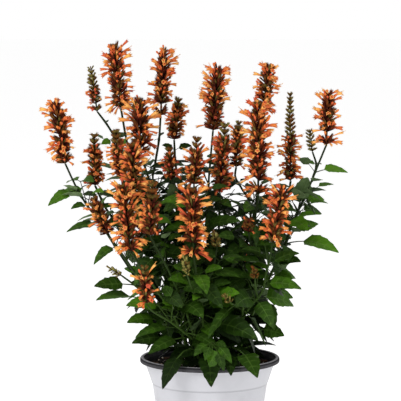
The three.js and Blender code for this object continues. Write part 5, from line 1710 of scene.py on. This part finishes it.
class FoliageLook(bpy.types.PropertyGroup):
    shoot_size: FloatProperty(name="Shoot size", description="Scale of the axillary shoots",
                              default=1.0, min=0.2, max=2)
    shoot_clearance: FloatProperty(name="Shoot clearance", default=2.2, min=1, max=7,
                                   description="Millimetres that shoot leaves keep from others")
    inner_clearance: FloatProperty(name="Inner clearance", default=2.2, min=1, max=7,
                                   description="Millimetres that inner leaves keep from others")
    shoot_rise: FloatProperty(name="Shoot rise", default=5,
                              description="Millimetres above the leafy part that shoots reach")
    leaf_colour: colour_setting("Leaf", "Upper face of a grown leaf", "#28430d")
    # Painted shade and painted light: leaf colours for leaves deep in the bush and for leaves in
    # full light.
    shade_leaf_colour: colour_setting("Shaded leaf", "Leaf deep in the bush", "#122206")
    lit_and_young_leaf_colour: colour_setting("Young leaf", "Leaf in full light", "#4c7a14")
    vein_colour: colour_setting("Veins", "Veins on the upper face", "#5c7c34")
    under_colour: colour_setting("Underside", "Underside of the leaf", "#4c603a")
    # Painted light on the undersides of leaves in full light.
    lit_and_young_under_colour: colour_setting("Young underside", "Underside in full light", "#6e8459")
    stem_colour: colour_setting("Stem", "Lower stem", "#3e5522")
    upper_stem_colour: colour_setting("Upper stem", "Stem below the heads", "#1d2a10")


class FlowerLook(bpy.types.PropertyGroup):
    whorl_spacing: FloatProperty(name="Whorl spacing", default=7.6, min=4, max=20,
                                 description="Millimetres from one whorl to the next")
    jitter: FloatProperty(name="Jitter", default=0.85, min=0, max=1, subtype="FACTOR",
                          description="How far florets stray from their whorl")
    florets: IntProperty(name="Florets", description="Florets in a full whorl", default=22, min=4)
    tip_overhang: FloatProperty(name="Tip overhang", default=3.5, min=0,
                                description="Millimetres that flowers may rise above the tip")
    open_share: FloatProperty(name="Open", description="Share of the florets that are open",
                              default=0.25, min=0, max=1, subtype="FACTOR")
    bud_share: FloatProperty(name="Buds", description="Share of the florets in bud",
                             default=0.18, min=0, max=1, subtype="FACTOR")
    spent_share: FloatProperty(name="Late flowers", default=0.4, min=0, max=1,
                               subtype="FACTOR",
                               description="Flowers left low on a head, as a share of the rest")
    stamen_share: FloatProperty(name="Stamens", default=0.35, min=0, max=1, subtype="FACTOR",
                                description="Share of the open flowers whose stamens show")
    mouth_size: FloatProperty(name="Mouth size", description="Scale of a flower across",
                              default=1.02, min=0.3, max=2)
    orange_colour: colour_setting("Orange", "Lips of most flowers", "#da7830")
    yellow_colour: colour_setting("Yellow-orange", "Lips of the palest flowers", "#f5b45e")
    coral_and_throat_shade_colour: colour_setting("Coral", "Reddest lips, buds and throats", "#c64f34")
    # Also the painted shade inside the throat of every flower.
    deep_colour: colour_setting("Deep red", "Tube of the reddest flowers", "#8e2c10")
    # Also the painted shade on the foot of every calyx.
    maroon_and_foot_shade_colour: colour_setting("Maroon", "Darkest calyx and the foot of all", "#32100b")
    calyx_colour: colour_setting("Calyx", "Red-brown calyx", "#5e2312")
    rust_colour: colour_setting("Rust", "Light brown calyx of a spent flower", "#7a451b")
    olive_colour: colour_setting("Olive", "Green-brown calyx", "#54481c")
    bud_green_colour: colour_setting("Bud green", "Calyx of a young head", "#918f4c")
    # Paints the highlight on the teeth of the calyces.
    calyx_tip_colour: colour_setting("Calyx tip", "Teeth of a calyx", "#7c3e28")


class StageLook(bpy.types.PropertyGroup):
    floor_colour: colour_setting("Floor", "Plain pale floor", "#f4f4f4")
    sky_colour: colour_setting("Surround", "Plain pale surround", "#ffffff")
    sky_strength: FloatProperty(name="Surround strength", default=1.0, min=0,
                                description="Brightness of the light from all round")
    zenith_share: FloatProperty(name="Overhead share", default=0.45, min=0, subtype="FACTOR",
                                description="Brightness overhead, as a share of the surround")
    floor_glow: FloatProperty(name="Floor glow", default=0.52, min=0,
                              description="Light that comes through the floor from below")
    key_power: FloatProperty(name="Key light", default=48, min=0, unit="POWER",
                             description="Power of the large front light")
    fill_power: FloatProperty(name="Fill light", default=10, min=0, unit="POWER",
                              description="Power of the soft side light")


# The stage

def point_at_target(holder, target):
    direction = Vector(target) - holder.location
    holder.rotation_euler = direction.to_track_quat("-Z", "Y").to_euler()


def add_area_light(name, place, target, size, power):
    light = bpy.data.lights.new(name, "AREA")
    light.shape = "DISK"
    light.size = size
    light.energy = power
    holder = bpy.data.objects.new(name, light)
    holder.location = place
    bpy.context.scene.collection.objects.link(holder)
    point_at_target(holder, target)


def build_stage(look):
    """A plain floor, a pale surround, two soft lights and the photograph's camera."""
    scene = bpy.context.scene
    bm = bmesh.new()
    floor_size = 60
    bmesh.ops.create_grid(bm, x_segments=1, y_segments=1, size=floor_size)
    mesh = keep_template(bm, "studio_floor")
    mesh.materials.append(backlit_acrylic(look))
    floor = bpy.data.objects.new("studio_floor", mesh)
    scene.collection.objects.link(floor)
    scene.world = build_surround(look)
    middle = (0, 0, 0.32)
    add_area_light("key_light", (-1.3, -2.3, 2.1), middle, 1.3, look.key_power)
    add_area_light("fill_light", (2.1, -1.5, 1.1), middle, 1.6, look.fill_power)
    # The photograph's view: a long lens 2.4 m away, looking down 5.1 degrees
    camera_data = bpy.data.cameras.new("camera")
    camera_data.sensor_width = 36
    camera_data.lens = 180
    camera_data.clip_end = 200
    camera = bpy.data.objects.new("camera", camera_data)
    pitch, camera_distance = 5.1 * DEGREE, 2.4
    aim = (-0.0112, 0, 0.3385)
    camera.location = (aim[0], -camera_distance * math.cos(pitch),
                       aim[2] + camera_distance * math.sin(pitch))
    camera.rotation_euler = (math.pi / 2 - pitch, 0, 0)
    scene.collection.objects.link(camera)
    scene.camera = camera
    scene.view_settings.view_transform = "Standard"


def build_surround(look):
    """The studio's pale surround, which is dimmer overhead, so that tops don't wash out."""
    world = bpy.data.worlds.new("studio_surround")
    world.use_nodes = True
    world.node_tree.nodes.clear()
    view = add_node(world, COORDINATES)["Generated"]
    rise = add_node(world, SPLIT, {0: view})[2]
    fade = add_node(world, RANGE, {"Value": rise, "From Min": 0.05, "From Max": 0.6},
                    interpolation_type="SMOOTHSTEP")[0]
    overhead = [channel * look.zenith_share for channel in look.sky_colour]
    shade = add_node(world, MIX, {0: fade, 6: look.sky_colour, 7: overhead},
                     data_type="RGBA")[2]
    light = add_node(world, "ShaderNodeBackground", {0: shade, 1: look.sky_strength})
    add_node(world, "ShaderNodeOutputWorld", {0: light[0]})
    return world


# Operators and the panel

class AGASTACHE_OT_pot(bpy.types.Operator):
    """Builds the white nursery pot with its rolled dark rim"""
    bl_idname = "agastache.pot"
    bl_label = "Pot"

    def execute(self, context):
        build_pot(context.scene.agastache_pot)
        return {"FINISHED"}


class AGASTACHE_OT_soil(bpy.types.Operator):
    """Builds the potting soil and the bark and perlite that lie on it"""
    bl_idname = "agastache.soil"
    bl_label = "Soil"

    def execute(self, context):
        look = context.scene.agastache_soil
        build_soil(look)
        scatter_bits("bark_bits", look.bark_count, BARK_SEED, chip_template(),
                     (2.5, 9), (0.45, 0.3), bark_chips(look))
        scatter_bits("perlite_grains", look.perlite_count, PERLITE_SEED, grain_template(),
                     (1.2, 3.4), (0.9, 0.8), perlite_grains(look))
        return {"FINISHED"}


class AGASTACHE_OT_stems(bpy.types.Operator):
    """Builds the square stems with their leaves and axillary shoots"""
    bl_idname = "agastache.stems"
    bl_label = "Leafy stems"

    def execute(self, context):
        build_stems(context.scene.agastache_foliage)
        return {"FINISHED"}


class AGASTACHE_OT_heads(bpy.types.Operator):
    """Builds the flower spikes and the green bud heads"""
    bl_idname = "agastache.heads"
    bl_label = "Flower heads"

    def execute(self, context):
        build_heads(context.scene.agastache_flowers, context.scene.agastache_foliage)
        return {"FINISHED"}


class AGASTACHE_OT_stage(bpy.types.Operator):
    """Builds the floor, the lights and the camera"""
    bl_idname = "agastache.stage"
    bl_label = "Stage"

    def execute(self, context):
        build_stage(context.scene.agastache_stage)
        return {"FINISHED"}


OPERATORS = [AGASTACHE_OT_pot, AGASTACHE_OT_soil, AGASTACHE_OT_stems, AGASTACHE_OT_heads,
             AGASTACHE_OT_stage]
SETTINGS = {"agastache_pot": PotLook, "agastache_soil": SoilLook,
            "agastache_foliage": FoliageLook, "agastache_flowers": FlowerLook,
            "agastache_stage": StageLook}


class AGASTACHE_PT_panel(bpy.types.Panel):
    """Lists the pieces and their settings in the sidebar"""
    bl_idname = "AGASTACHE_PT_panel"
    bl_label = "Potted agastache"
    bl_space_type = "VIEW_3D"
    bl_region_type = "UI"
    bl_category = "Agastache"

    def draw(self, context):
        for operator, setting in zip(OPERATORS, SETTINGS):
            box = self.layout.box()
            box.operator(operator.bl_idname)
            group = getattr(context.scene, setting)
            for name in group.__annotations__:
                box.prop(group, name)


def register():
    for group in SETTINGS.values():
        bpy.utils.register_class(group)
    for name, group in SETTINGS.items():
        setattr(bpy.types.Scene, name, PointerProperty(type=group))
    for operator in OPERATORS:
        bpy.utils.register_class(operator)
    bpy.utils.register_class(AGASTACHE_PT_panel)


def unregister():
    bpy.utils.unregister_class(AGASTACHE_PT_panel)
    for operator in reversed(OPERATORS):
        bpy.utils.unregister_class(operator)
    for name in SETTINGS:
        delattr(bpy.types.Scene, name)
    for group in SETTINGS.values():
        bpy.utils.unregister_class(group)


def main():
    register()
    bpy.ops.agastache.pot()
    bpy.ops.agastache.soil()
    bpy.ops.agastache.stems()
    bpy.ops.agastache.heads()
    bpy.ops.agastache.stage()


if __name__ == "__main__":
    main()
